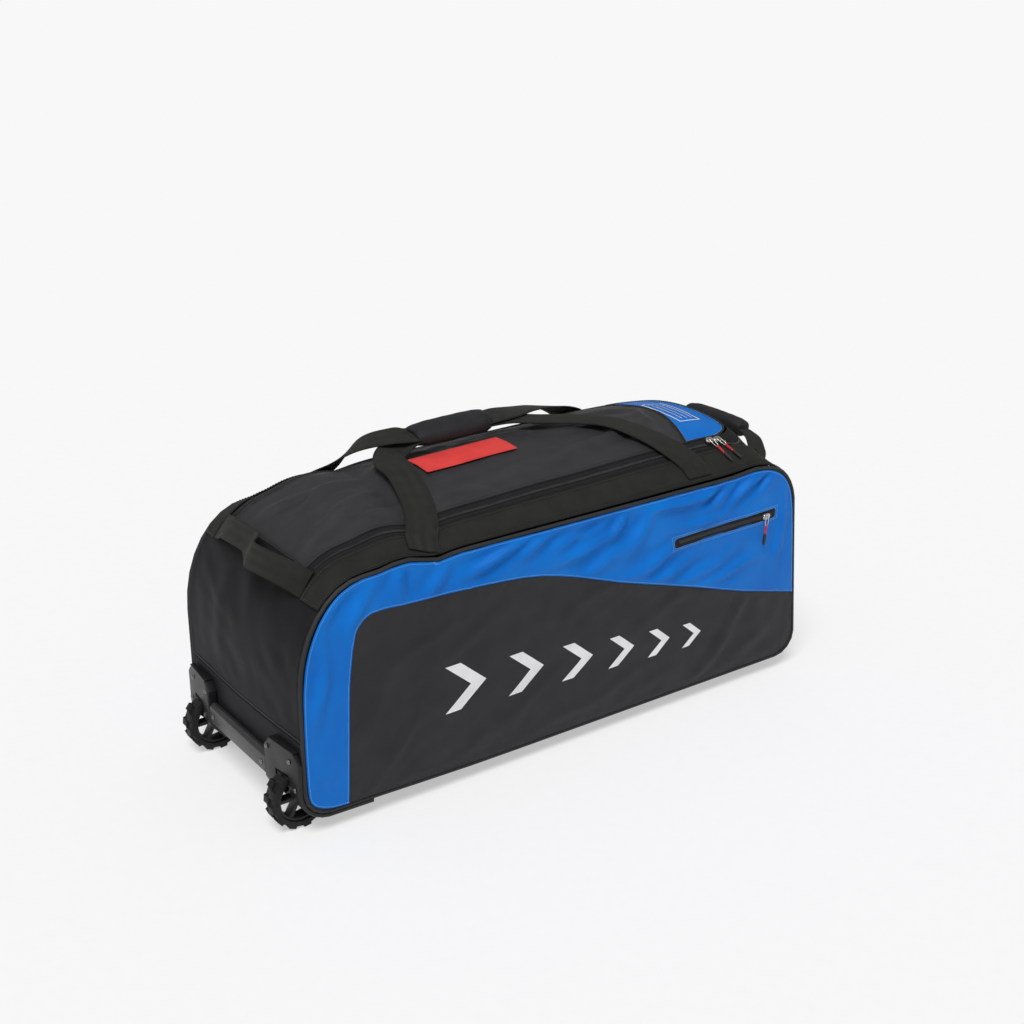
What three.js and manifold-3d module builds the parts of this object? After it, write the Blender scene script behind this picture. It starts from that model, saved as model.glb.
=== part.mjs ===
// Wheeled duffel bag: a long soft bag with two wheels at one end, straps, grab handles and zips.
// Millimetres, +Z up. +X runs from the wheels to the far end, -Y is the front long side.
// The origin is on the floor, in the middle of the bag's length and width.
import * as THREE from "three";
import { mergeVertices } from "three/addons/utils/BufferGeometryUtils.js";
import Module from "manifold-3d";

const wasm = await Module();
wasm.setup();

// Driving sizes of the soft shell
const bagLength = 899;
const bagWidth = 341;
const seamHeight = 24;
const shellHeight = 333;
const farEndLean = 18;
const wheelEndLift = 6;
const clothWall = 2.2;
const webbingWall = 2;
const pipingRadius = 2.6;
const seatGap = 0.3;
const seamAllowance = 0.9;
const layerGap = 0.8;
const bandSetBack = 1.2;
const panelBulge = 7;
const bellyFlatWidth = 156;

// Corner radii of the side outline: run is along X, rise is along Z
const corners = {
  topWheel: { run: 100, rise: 150 },
  topFar: { run: 63, rise: 74 },
  bottomFar: { run: 38, rise: 36 },
  bottomWheel: { run: 40, rise: 36 },
};

// Driving sizes of the lid, its zip and the bands beside it
const lidWidth = 206;
const zipTapeWidth = 23.4;
const lidCornerRadius = 32;
const lidWheelInset = 60;
const lidFarInset = 91;
const lidPatchDepth = 62;
const bandTabDrop = 36;
const bandFarDrop = 60;
const kickSeamHeight = 139;

// Driving sizes of the side pocket, the labels and the zip furniture
const pocketZipLength = 207;
const pocketZipWidth = 12;
const pocketZipHeight = 280;
const pocketFarInset = 63;
const labelLength = 156;
const labelWidth = 54;
const labelWall = 0.8;
const sliderLength = 15;
const sliderWidth = 10;
const sliderHeight = 5;
const mainSliderSeat = 1;
const sliderApart = 4;
const sliderClear = 36.5;
const tabWidth = 7;
const tabSlotWidth = 3;
const tabWall = 1.8;
const pullCordRadius = 1.7;
const pullLean = 17;
const pullLandInset = 12;
const pullEndRadius = 3.2;
const pullLength = 48;

// Driving sizes of the straps and handles
const strapWidth = 45;
const strapSpacing = 488;
const gripLength = 140;
const gripWidth = 54;
const gripHeight = 27;
const gripLift = 21;
const grabWidth = 42;
const grabPadDiameter = 30;
const wheelGrabRise = 22;
const farGrabRise = 28;
const farGrabSpan = 232;

// Driving sizes of the wheels and their housings
const wheelRadius = 45;
const wheelWidth = 25;
const wheelTrack = 260;
const wheelInset = 9;
const tyreDepth = 10;
const lugHeight = 3.4;
const lugCount = 12;
const spokeCount = 6;
const rimSides = 20;
const axleRadius = 4;
const runningGap = 0.3;
const wellGap = 3.4;
const wellWall = 4;
const housingWidth = 83;
const housingTop = 123;
const housingReach = 104;
const flangeWall = 6.2;
const plateTilt = 8;
const rivetRadius = 4.2;
const barHeight = 34;
const barWall = 11;
const barMidHeight = 79;

const halfWidth = bagWidth / 2;
const wheelEndX = -bagLength / 2 + 6.5;
const farFootX = wheelEndX + bagLength;
const farHeadX = farFootX - farEndLean;
const topHeight = seamHeight + shellHeight;
const clothEdge = pipingRadius + seamAllowance;
const panelY = halfWidth + clothWall / 2;
const lidHalf = lidWidth / 2;
const bandInner = lidHalf + zipTapeWidth + 2 * seatGap + bandSetBack;
const bandOuter = halfWidth - clothEdge;
const zipLine = lidHalf + zipTapeWidth / 2;
const bandLift = webbingWall + layerGap;
const strapLift = bandLift + webbingWall + 2 * layerGap;

const materials = {
  blueCloth: new THREE.MeshStandardMaterial({ color: 0x1268d2, roughness: 0.62, metalness: 0 }),
  blackCloth: new THREE.MeshStandardMaterial({ color: 0x2c2c2f, roughness: 0.72, metalness: 0 }),
  endCloth: new THREE.MeshStandardMaterial({ color: 0x222225, roughness: 0.78, metalness: 0 }),
  webbing: new THREE.MeshStandardMaterial({ color: 0x26261f, roughness: 0.88, metalness: 0 }),
  piping: new THREE.MeshStandardMaterial({ color: 0x17171a, roughness: 0.6, metalness: 0 }),
  zipTape: new THREE.MeshStandardMaterial({ color: 0x1b1b1d, roughness: 0.7, metalness: 0 }),
  padding: new THREE.MeshStandardMaterial({ color: 0x2a2a2c, roughness: 0.8, metalness: 0 }),
  redLabel: new THREE.MeshStandardMaterial({ color: 0xd92b2f, roughness: 0.5, metalness: 0 }),
  redCord: new THREE.MeshStandardMaterial({ color: 0xc9242b, roughness: 0.7, metalness: 0 }),
  moulding: new THREE.MeshStandardMaterial({ color: 0x3a3a3c, roughness: 0.5, metalness: 0 }),
  barPlastic: new THREE.MeshStandardMaterial({ color: 0x6a6a6c, roughness: 0.4, metalness: 0 }),
  rubber: new THREE.MeshStandardMaterial({ color: 0x1c1c1d, roughness: 0.85, metalness: 0 }),
  rimPlastic: new THREE.MeshStandardMaterial({ color: 0x202022, roughness: 0.45, metalness: 0 }),
  steel: new THREE.MeshStandardMaterial({ color: 0xb9b4a6, roughness: 0.3, metalness: 1 }),
};

const bag = new THREE.Group();
const clamp = THREE.MathUtils.clamp;
const lerp = THREE.MathUtils.lerp;
const smooth = (share) => THREE.MathUtils.smoothstep(share, 0, 1);

function addPiece(name, geometry, material, parent = bag) {
  const mesh = new THREE.Mesh(geometry, material);
  mesh.name = name;
  parent.add(mesh);
  return mesh;
}

// A value read from a table of rows, eased from each row to the next
function readTable(rows, key, value, place) {
  let row = 0;
  while (row < rows.length - 2 && rows[row + 1][key] < place) row += 1;
  const share = clamp((place - rows[row][key]) / (rows[row + 1][key] - rows[row][key]), 0, 1);
  return lerp(rows[row][value], rows[row + 1][value], smooth(share));
}

// Solids: joining, cutting and turning a closed mesh the right way out

function plainGeometry(geometry) {
  const plain = geometry.clone();
  plain.deleteAttribute("normal");
  plain.deleteAttribute("uv");
  return mergeVertices(plain, 1e-4);
}

function faceOutward(geometry) {
  const place = geometry.attributes.position;
  const index = geometry.index;
  const [a, b, c] = [new THREE.Vector3(), new THREE.Vector3(), new THREE.Vector3()];
  let volume = 0;
  for (let i = 0; i < index.count; i += 3) {
    a.fromBufferAttribute(place, index.getX(i));
    b.fromBufferAttribute(place, index.getX(i + 1));
    c.fromBufferAttribute(place, index.getX(i + 2));
    volume += a.dot(b.cross(c));
  }
  if (volume < 0) {
    for (let i = 0; i < index.count; i += 3) {
      const first = index.getX(i);
      index.setX(i, index.getX(i + 1));
      index.setX(i + 1, first);
    }
  }
  return geometry;
}

function solidOf(geometry) {
  const plain = faceOutward(plainGeometry(geometry));
  return new wasm.Manifold(new wasm.Mesh({
    numProp: 3,
    vertProperties: new Float32Array(plain.attributes.position.array),
    triVerts: new Uint32Array(plain.index.array),
  }));
}

function geometryOf(solid) {
  const mesh = solid.getMesh();
  const geometry = new THREE.BufferGeometry();
  geometry.setAttribute("position", new THREE.BufferAttribute(new Float32Array(mesh.vertProperties), 3));
  geometry.setIndex(new THREE.BufferAttribute(new Uint32Array(mesh.triVerts), 1));
  return geometry;
}

const join = (parts) => parts.map(solidOf).reduce((whole, part) => whole.add(part));
const cut = (solid, parts) => parts.map(solidOf).reduce((whole, part) => whole.subtract(part), solid);

const evenShares = (count) => Array.from({ length: count + 1 }, (_, i) => i / count);

// A sheet of one wall thickness: pointAt(u, v, lift) is its outer face at lift 0.
// The columns and rows are counts of even steps, or lists of shares.
function sheet(pointAt, columnSteps, rowSteps, wall) {
  const us = Array.isArray(columnSteps) ? columnSteps : evenShares(columnSteps);
  const vs = Array.isArray(rowSteps) ? rowSteps : evenShares(rowSteps);
  const columns = us.length - 1;
  const rows = vs.length - 1;
  const count = us.length * vs.length;
  const places = [];
  const inner = [];
  const faces = [];
  for (const v of vs) {
    for (const u of us) {
      places.push(...pointAt(u, v, 0).toArray());
      inner.push(...pointAt(u, v, -wall).toArray());
    }
  }
  places.push(...inner);
  const index = (i, j, layer) => layer * count + j * (columns + 1) + i;
  const quad = (a, b, c, d) => faces.push(a, b, c, a, c, d);
  for (let j = 0; j < rows; j += 1) {
    for (let i = 0; i < columns; i += 1) {
      quad(index(i, j, 0), index(i + 1, j, 0), index(i + 1, j + 1, 0), index(i, j + 1, 0));
      quad(index(i, j + 1, 1), index(i + 1, j + 1, 1), index(i + 1, j, 1), index(i, j, 1));
    }
  }
  for (let i = 0; i < columns; i += 1) {
    quad(index(i, 0, 1), index(i + 1, 0, 1), index(i + 1, 0, 0), index(i, 0, 0));
    quad(index(i, rows, 0), index(i + 1, rows, 0), index(i + 1, rows, 1), index(i, rows, 1));
  }
  for (let j = 0; j < rows; j += 1) {
    quad(index(0, j, 0), index(0, j + 1, 0), index(0, j + 1, 1), index(0, j, 1));
    quad(index(columns, j, 1), index(columns, j + 1, 1), index(columns, j + 1, 0), index(columns, j, 0));
  }
  const geometry = new THREE.BufferGeometry();
  geometry.setAttribute("position", new THREE.Float32BufferAttribute(places, 3));
  geometry.setIndex(faces);
  return faceOutward(geometry);
}

// The side outline, walked from the foot of the wheel end, up, along the top, down and back.
// A place on it is a number from 0 to 8: each whole number starts the next edge or corner.

// Soft waves of the top edge, as shares of the bag's length and height
const topWaves = [
  { along: 0.178, spread: 0.03, rise: 0.022 },
  { along: 0.238, spread: 0.022, rise: -0.013 },
  { along: 0.882, spread: 0.03, rise: 0.014 },
];

function warpHeight(x, z) {
  const along = (x - wheelEndX) / bagLength;
  const up = clamp((z - seamHeight) / shellHeight, 0, 1);
  let wave = 0;
  for (const row of topWaves) wave += row.rise * Math.exp(-(((along - row.along) / row.spread) ** 2));
  const lift = wheelEndLift * smooth(clamp(1 - along / 0.35, 0, 1)) * (1 - up);
  return z + lift + wave * shellHeight * up ** 3;
}

function arcPoint(centreX, centreZ, corner, startTurn, share) {
  const turn = startTurn - (share * Math.PI) / 2;
  return { x: centreX + corner.run * Math.cos(turn), z: centreZ + corner.rise * Math.sin(turn) };
}

function edgePoint(fromX, fromZ, toX, toZ, share) {
  return { x: lerp(fromX, toX, share), z: lerp(fromZ, toZ, share) };
}

function outlinePoint(place) {
  const wrapped = ((place % 8) + 8) % 8;
  const edge = Math.floor(wrapped);
  const share = wrapped - edge;
  const { topWheel, topFar, bottomFar, bottomWheel } = corners;
  const wheelArcX = wheelEndX + bottomWheel.run;
  const wheelArcZ = seamHeight + bottomWheel.rise;
  const topArcX = wheelEndX + topWheel.run;
  const topArcZ = topHeight - topWheel.rise;
  const headArcX = farHeadX - topFar.run;
  const headArcZ = topHeight - topFar.rise;
  const footArcX = farFootX - bottomFar.run;
  const footArcZ = seamHeight + bottomFar.rise;
  const walk = [
    () => edgePoint(wheelEndX, wheelArcZ, wheelEndX, topArcZ, share),
    () => arcPoint(topArcX, topArcZ, topWheel, Math.PI, share),
    () => edgePoint(topArcX, topHeight, headArcX, topHeight, share),
    () => arcPoint(headArcX, headArcZ, topFar, Math.PI / 2, share),
    () => edgePoint(farHeadX, headArcZ, farFootX, footArcZ, share),
    () => arcPoint(footArcX, footArcZ, bottomFar, 0, share),
    () => edgePoint(footArcX, seamHeight, wheelArcX, seamHeight, share),
    () => arcPoint(wheelArcX, wheelArcZ, bottomWheel, -Math.PI / 2, share),
  ];
  const point = walk[edge]();
  return { x: point.x, z: warpHeight(point.x, point.z) };
}

// The outline with its outward direction, moved out by some offset
function outlineAt(place, offset = 0) {
  const before = outlinePoint(place - 0.01);
  const after = outlinePoint(place + 0.01);
  const here = outlinePoint(place);
  const length = Math.hypot(after.x - before.x, after.z - before.z);
  const nx = -(after.z - before.z) / length;
  const nz = (after.x - before.x) / length;
  return { x: here.x + nx * offset, z: here.z + nz * offset, nx, nz };
}

// Places on the outline that the pieces share
const cornerShare = (run, reach) => Math.acos(clamp(reach / run, -1, 1)) / (Math.PI / 2);
const wheelEndRise = shellHeight - corners.topWheel.rise - corners.bottomWheel.rise;
const topRun = bagLength - farEndLean - corners.topWheel.run - corners.topFar.run;
const topPlace = (x) => 2 + (x - wheelEndX - corners.topWheel.run) / topRun;
const kickPlace = 8 + (kickSeamHeight - seamHeight - corners.bottomWheel.rise) / wheelEndRise;
const lidWheelPlace = 1 + cornerShare(corners.topWheel.run, corners.topWheel.run - lidWheelInset);
const lidFarX = farFootX - lidFarInset;
const lidFarPlace = topPlace(lidFarX);
const tabPlace = lidWheelPlace - bandTabDrop / 195;
const farSeamPlace = 3.6;
const bandFarPlace = farSeamPlace + (bandFarDrop - 30) / 200;
const baseFarPlace = 5.5;
const baseWheelPlace = 7.5;

// How far the filled bag crowns out of its side outline, as shares of the height: front and back are
// the rises at the two zips, lid is the further rise to the middle
const crownRows = [
  { place: 0, front: 0, back: 0, lid: 0.002 },
  { place: 1, front: 0.009, back: 0.009, lid: 0.015 },
  { place: 1.55, front: 0.022, back: 0.024, lid: 0.014 },
  { place: 1.74, front: 0.04, back: 0.046, lid: 0.015 },
  { place: 2, front: 0.052, back: 0.076, lid: 0.034 },
  { place: 2.15, front: 0.066, back: 0.122, lid: 0.062 },
  { place: 2.3, front: 0.083, back: 0.132, lid: 0.078 },
  { place: 2.5, front: 0.099, back: 0.135, lid: 0.082 },
  { place: 2.8, front: 0.12, back: 0.143, lid: 0.07 },
  { place: 2.93, front: 0.126, back: 0.14, lid: 0.05 },
  { place: 2.99, front: 0.11, back: 0.115, lid: 0.04 },
  { place: 3.08, front: 0.048, back: 0.052, lid: 0.03 },
  { place: 3.33, front: 0.024, back: 0.026, lid: 0.02 },
  { place: 3.7, front: 0.012, back: 0.012, lid: 0.016 },
  { place: 5, front: 0.009, back: 0.009, lid: 0.012 },
];
const farCornerDrop = 0.035;

// How far the base hangs below its seams, as shares of the seam's height above the floor
const bellyRows = [
  { place: 6, sag: 1 },
  { place: 6.45, sag: 1 },
  { place: 6.9, sag: 0 },
  { place: 7, sag: 0 },
];

function topCrown(place, y) {
  const reach = Math.abs(y);
  const across = clamp(reach / zipLine, 0, 1);
  const at = place + farCornerDrop * across ** 4;
  const front = readTable(crownRows, "place", "front", at);
  const back = readTable(crownRows, "place", "back", at);
  const band = shellHeight * lerp(front, back, clamp((y / zipLine + 1) / 2, 0, 1));
  const lid = shellHeight * readTable(crownRows, "place", "lid", at);
  if (reach >= zipLine) return (band * (halfWidth - reach)) / (halfWidth - zipLine);
  return band + lid * (1 - across ** 2);
}

function bellyCrown(place, y) {
  const flat = bellyFlatWidth / 2;
  const share = clamp((Math.abs(y) - flat) / (halfWidth - flat), 0, 1);
  const sag = seamHeight * readTable(bellyRows, "place", "sag", place);
  return sag * (1 - smooth(share));
}

function crownAt(place, y) {
  const wrapped = ((place % 8) + 8) % 8;
  if (wrapped <= 5) return topCrown(wrapped, y);
  if (wrapped <= 6) return lerp(topCrown(5, y), bellyCrown(6, y), smooth(wrapped - 5));
  if (wrapped <= 7) return bellyCrown(wrapped, y);
  return lerp(bellyCrown(7, y), topCrown(0, y), smooth(wrapped - 7));
}

// A point on the filled shell, lifted off it
function shellPoint(place, y, lift = 0) {
  const o = outlineAt(place, crownAt(place, y) + lift);
  return new THREE.Vector3(o.x, y, o.z);
}

// The places where the cloth is sampled, closest round the corners and along the waves of the top edge
function runShares(from, to, steps) {
  return evenShares(steps).map((share) => lerp(from, to, share)).slice(0, steps);
}
const topShares = [...runShares(0, 0.225, 7), ...runShares(0.225, 0.9, 11), ...runShares(0.9, 1, 3), 1];
const stepsOnEdge = [3, 8, 0, 8, 2, 4, 11, 4];
const stations = [];
for (let edge = 0; edge < 16; edge += 1) {
  const steps = stepsOnEdge[edge % 8];
  const shares = steps > 0 ? evenShares(steps) : topShares;
  for (const share of shares.slice(0, -1)) stations.push(edge + share);
}

// Shares of the bag's width for the rows of a patch that spans it: the crown has its crease at the zips
function acrossRows(ys) {
  return ys.map((y) => (y + bandOuter) / (2 * bandOuter));
}

// The stations between two places, as shares of the way
function sharesBetween(from, to) {
  const spare = 0.02;
  const inside = stations.filter((place) => place > from + spare && place < to - spare);
  return [0, ...inside.map((place) => (place - from) / (to - from)), 1];
}

// A patch of the shell between two places, over a width that may change along it
function shellPatch(from, to, spanAt, rows, wall, lift = 0) {
  const columns = sharesBetween(from(0), to(0));
  const placeAt = (u, y) => lerp(from(y), to(y), u);
  const pointAt = (u, v, depth) => {
    const span = spanAt(u);
    const y = lerp(span[0], span[1], v);
    return shellPoint(placeAt(u, y), y, lift + depth);
  };
  return sheet(pointAt, columns, rows, wall);
}

const always = (value) => () => value;
const seam = seatGap / 400;

// Side panels

// Folds in the cloth, as shares of the length, the height and the bulge; a turn of 90 stands upright
const foldRows = [
  { along: 0.2, up: 0.87, turn: 95, long: 0.16, wide: 0.026, depth: 0.32 },
  { along: 0.37, up: 0.86, turn: 24, long: 0.13, wide: 0.028, depth: 0.3 },
  { along: 0.52, up: 0.8, turn: 34, long: 0.15, wide: 0.028, depth: -0.32 },
  { along: 0.66, up: 0.84, turn: 42, long: 0.14, wide: 0.028, depth: 0.34 },
  { along: 0.8, up: 0.83, turn: 56, long: 0.13, wide: 0.026, depth: -0.34 },
  { along: 0.9, up: 0.84, turn: 78, long: 0.14, wide: 0.024, depth: 0.34 },
  { along: 0.78, up: 0.18, turn: 32, long: 0.2, wide: 0.032, depth: 0.25 },
  { along: 0.24, up: 0.3, turn: 68, long: 0.2, wide: 0.032, depth: 0.25 },
];

function foldDepth(along, up) {
  let depth = 0;
  for (const row of foldRows) {
    const turn = THREE.MathUtils.degToRad(row.turn);
    const dx = (along - row.along) * bagLength;
    const dz = (up - row.up) * shellHeight;
    const lengthwise = (dx * Math.cos(turn) + dz * Math.sin(turn)) / (row.long * bagLength);
    const sideways = (dz * Math.cos(turn) - dx * Math.sin(turn)) / (row.wide * bagLength);
    depth += row.depth * panelBulge * Math.exp(-(lengthwise ** 2) - sideways ** 2);
  }
  return depth;
}

// How far the panel stands out of the seam's plane at a place on it
function bulgeAt(x, z) {
  const along = (x - wheelEndX) / bagLength;
  const up = (z - seamHeight) / shellHeight;
  const rim = clamp(4 * along * (1 - along), 0, 1) ** 0.5 * clamp(4 * up * (1 - up), 0, 1) ** 0.6;
  return panelBulge * rim + foldDepth(along, up) * clamp(rim * 1.4, 0, 1);
}

function ellipseReach(corner, inset, drop) {
  const rise = corner.rise - inset;
  const run = corner.run - inset;
  return run - run * Math.sqrt(Math.max(0, 1 - clamp(drop / rise, 0, 1) ** 2));
}

// The X of a panel's two ends at some height, inside the outline by an inset
function panelEnds(z, inset) {
  const { topWheel, topFar, bottomFar, bottomWheel } = corners;
  const farArcTop = topHeight - topFar.rise;
  const farArcFoot = seamHeight + bottomFar.rise;
  const lean = clamp((z - farArcFoot) / (farArcTop - farArcFoot), 0, 1) * farEndLean;
  const left = wheelEndX + inset
    + ellipseReach(topWheel, inset, z - (topHeight - topWheel.rise))
    + ellipseReach(bottomWheel, inset, seamHeight + bottomWheel.rise - z);
  const right = farFootX - inset - lean
    - ellipseReach(topFar, inset, z - farArcTop)
    - ellipseReach(bottomFar, inset, farArcFoot - z);
  return [left, right];
}

function panelPoint(sign, u, v, inset, lift = 0) {
  const low = seamHeight + inset;
  const high = topHeight - inset;
  const flatZ = lerp(low, high, v);
  const [left, right] = panelEnds(flatZ, inset);
  const x = lerp(left, right, u);
  const z = warpHeight(x, flatZ);
  return new THREE.Vector3(x, sign * (panelY + bulgeAt(x, flatZ) + lift), z);
}

// Rows up the panel, as shares of its height, closest at the round corners
const panelRows = [0, 0.025, 0.06, 0.11, 0.33, 0.55, 0.72, 0.86, 0.94, 0.985, 1];
function panelSheet(sign) {
  return sheet((u, v, lift) => panelPoint(sign, u, v, clothEdge, lift), topShares, panelRows, clothWall);
}

// The seam between the two colours, as shares of the length and height
const colourSeam = [
  { along: 0.07, up: -0.1 },
  { along: 0.074, up: 0.22 },
  { along: 0.078, up: 0.5 },
  { along: 0.083, up: 0.63 },
  { along: 0.094, up: 0.78 },
  { along: 0.12, up: 0.838 },
  { along: 0.17, up: 0.838 },
  { along: 0.26, up: 0.832 },
  { along: 0.35, up: 0.82 },
  { along: 0.425, up: 0.793 },
  { along: 0.504, up: 0.73 },
  { along: 0.588, up: 0.652 },
  { along: 0.674, up: 0.58 },
  { along: 0.764, up: 0.505 },
  { along: 0.86, up: 0.42 },
  { along: 1.05, up: 0.28 },
];

function lowerPrism(grow) {
  const points = colourSeam.map((row) => new THREE.Vector2(
    wheelEndX + row.along * bagLength - grow,
    seamHeight + row.up * shellHeight + grow,
  ));
  const shape = new THREE.Shape(new THREE.SplineCurve(points).getPoints(30));
  shape.lineTo(farFootX + bagWidth, seamHeight - bagWidth);
  shape.lineTo(points[0].x, seamHeight - bagWidth);
  return uprightExtrude(shape, bagWidth, 0);
}

// A shape drawn in X and Z, made thick along Y about a middle
function uprightExtrude(shape, depth, middleY, bevel = 0, curveSegments = 12) {
  const geometry = new THREE.ExtrudeGeometry(shape, {
    depth: depth - 2 * bevel,
    bevelEnabled: bevel > 0,
    bevelThickness: bevel,
    bevelSize: bevel,
    bevelOffset: -bevel,
    bevelSegments: 1,
    curveSegments,
  });
  geometry.translate(0, 0, -(depth - 2 * bevel) / 2);
  geometry.rotateX(Math.PI / 2);
  geometry.translate(0, middleY, 0);
  return geometry;
}

const pocketFarX = farFootX - pocketFarInset;
const pocketNearX = pocketFarX - pocketZipLength;
const pocketRise = 4;

function pocketSlot() {
  const half = pocketZipWidth / 2;
  const shape = new THREE.Shape();
  shape.moveTo(pocketNearX, pocketZipHeight - pocketRise / 2 - half);
  shape.lineTo(pocketFarX, pocketZipHeight + pocketRise / 2 - half);
  shape.lineTo(pocketFarX, pocketZipHeight + pocketRise / 2 + half);
  shape.lineTo(pocketNearX, pocketZipHeight - pocketRise / 2 + half);
  return uprightExtrude(shape, halfWidth, -halfWidth);
}

function pocketPoint(u, v, lift) {
  const x = lerp(pocketNearX + seatGap, pocketFarX - seatGap, u);
  const across = (v - 0.5) * (pocketZipWidth - 2 * seatGap);
  const z = pocketZipHeight + (u - 0.5) * pocketRise + across;
  return new THREE.Vector3(x, -(panelY + bulgeAt(x, z) + lift), z);
}

for (const [side, sign] of [["front", -1], ["back", 1]]) {
  const whole = solidOf(panelSheet(sign));
  const shift = (geometry) => geometry.translate(0, sign * halfWidth, 0);
  const lower = whole.intersect(solidOf(shift(lowerPrism(0))));
  let upper = whole.subtract(solidOf(shift(lowerPrism(seatGap))));
  if (side === "front") upper = cut(upper, [pocketSlot()]);
  addPiece(`side_panel_${side}_upper`, geometryOf(upper), materials.blueCloth);
  addPiece(`side_panel_${side}_lower`, geometryOf(lower), materials.blackCloth);
}
addPiece(
  "pocket_zip",
  sheet((u, v, lift) => pocketPoint(u, v, lift - 0.6), 10, 1, clothWall - 0.6),
  materials.zipTape,
);

// Housings at the wheel corners, which the kick panel and the base are cut to clear

const wheelX = wheelEndX + wheelInset;
const wheelZ = wheelRadius;
const wellRadius = wheelRadius + wellGap;
const wellHalf = wheelWidth / 2 + wellGap;
const flangeInner = 2.4;
const flangeOuter = flangeInner + flangeWall;

function barrel(radius, length, segments, x, y, z) {
  const geometry = new THREE.CylinderGeometry(radius, radius, length, segments);
  return geometry.translate(x, y, z);
}

// The outline from low on the wheel end round the corner, at an offset
function cornerWalk(fromPlace, toPlace, offset, steps) {
  const points = [];
  for (let i = 0; i <= steps; i += 1) {
    const o = outlineAt(lerp(fromPlace, toPlace, i / steps), offset);
    points.push(new THREE.Vector2(o.x, o.z));
  }
  return points;
}

const flangeTopPlace = 8 + (housingTop - seamHeight - corners.bottomWheel.rise) / wheelEndRise;
const bottomRun = bagLength - corners.bottomFar.run - corners.bottomWheel.run;
const flangeFootPlace = 7 - (housingReach - corners.bottomWheel.run) / bottomRun;
const wellInnerX = wheelX + wellRadius + wellWall;
const wellTopZ = wheelZ + wellRadius + wellWall;

function flangeShape(inner, outer) {
  const outside = cornerWalk(flangeFootPlace, flangeTopPlace, outer, 10);
  const inside = cornerWalk(flangeTopPlace, flangeFootPlace, inner, 10);
  return new THREE.Shape([...outside, ...inside]);
}

function wellShape() {
  const outside = cornerWalk(7 - 0.03, flangeTopPlace - 0.12, flangeInner + 0.6, 8);
  const points = outside.filter((point) => point.x < wellInnerX && point.y < wellTopZ);
  const last = points[points.length - 1];
  points.push(new THREE.Vector2(last.x, wellTopZ));
  points.push(new THREE.Vector2(wellInnerX, wellTopZ));
  points.push(new THREE.Vector2(wellInnerX, points[0].y));
  return new THREE.Shape(points);
}

const flangeMiddle = halfWidth - housingWidth / 2 + 0.5;
const flangeEdge = flangeMiddle + housingWidth / 2;

// How far the plate's outer face stands out beyond its outer edge's, towards the bag's middle
const plateSlope = (y) => (plateTilt * (flangeEdge - Math.abs(y))) / housingWidth;

function tiltedFlange(sign) {
  const flange = uprightExtrude(
    flangeShape(flangeInner, flangeOuter),
    housingWidth,
    sign * flangeMiddle,
    1.2,
    1,
  );
  const place = flange.attributes.position;
  const plateMiddle = wheelEndX - (flangeInner + flangeOuter) / 2;
  for (let i = 0; i < place.count; i += 1) {
    const share = clamp((plateMiddle - place.getX(i)) / 2, 0, 1);
    place.setX(i, place.getX(i) - share * plateSlope(place.getY(i)));
  }
  return flange;
}

function housing(sign) {
  const middle = (sign * wheelTrack) / 2;
  const wellWidth = 2 * (wellHalf + wellWall);
  const body = join([tiltedFlange(sign), uprightExtrude(wellShape(), wellWidth, middle)]);
  const chamfers = [-1, 1].map((end) => {
    const wedge = new THREE.BoxGeometry(6 * flangeOuter, 18, 18);
    wedge.rotateX(Math.PI / 4);
    return wedge.translate(wheelEndX, sign * flangeMiddle + (end * housingWidth) / 2, housingTop + 2);
  });
  return cut(body, [
    barrel(wellRadius, 2 * wellHalf, 20, wheelX, middle, wheelZ),
    barrel(axleRadius + seatGap, wellWidth + 2, 12, wheelX, middle, wheelZ),
    ...chamfers,
  ]);
}

// The space that each housing takes out of the cloth behind it
function housingHole(sign) {
  const width = 2 * (wellHalf + wellWall + seatGap);
  const hole = new THREE.BoxGeometry(wellInnerX - wheelEndX + housingTop, width, wellTopZ + housingTop);
  const middleX = (wellInnerX + seatGap + wheelEndX - housingTop) / 2;
  return hole.translate(middleX, (sign * wheelTrack) / 2, (wellTopZ + seatGap - housingTop) / 2);
}

// End panels, base and the piped seam above the kick panel

const fullSpan = always([-bandOuter, bandOuter]);
const bellyHalf = bellyFlatWidth / 2;
const bellyFade = 1.5 * bellyHalf;
const baseRows = acrossRows([-bandOuter, -bellyFade, -bellyHalf, bellyHalf, bellyFade, bandOuter]);
const capRows = acrossRows([-bandOuter, -zipLine, -zipLine / 2, 0, zipLine / 2, zipLine, bandOuter]);
const kickFrom = baseWheelPlace + seam;
const kickTo = kickPlace - 0.02;
const wellHoles = [housingHole(-1), housingHole(1)];

const baseTo = baseWheelPlace - 0.006;
const kickSheet = shellPatch(always(kickFrom), always(kickTo), fullSpan, capRows, clothWall);
const baseSheet = shellPatch(always(baseFarPlace), always(baseTo), fullSpan, baseRows, clothWall);
addPiece("kick_panel", geometryOf(cut(solidOf(kickSheet), wellHoles)), materials.endCloth);
addPiece("base_panel", geometryOf(cut(solidOf(baseSheet), wellHoles)), materials.endCloth);
addPiece(
  "end_panel_wheel",
  shellPatch(
    always(kickPlace - 8 + 0.02),
    always(lidWheelPlace - 0.002),
    fullSpan,
    capRows,
    clothWall,
  ),
  materials.endCloth,
);
addPiece(
  "end_panel_far",
  shellPatch(always(farSeamPlace), always(baseFarPlace - 0.008), fullSpan, capRows, clothWall),
  materials.endCloth,
);

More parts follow.
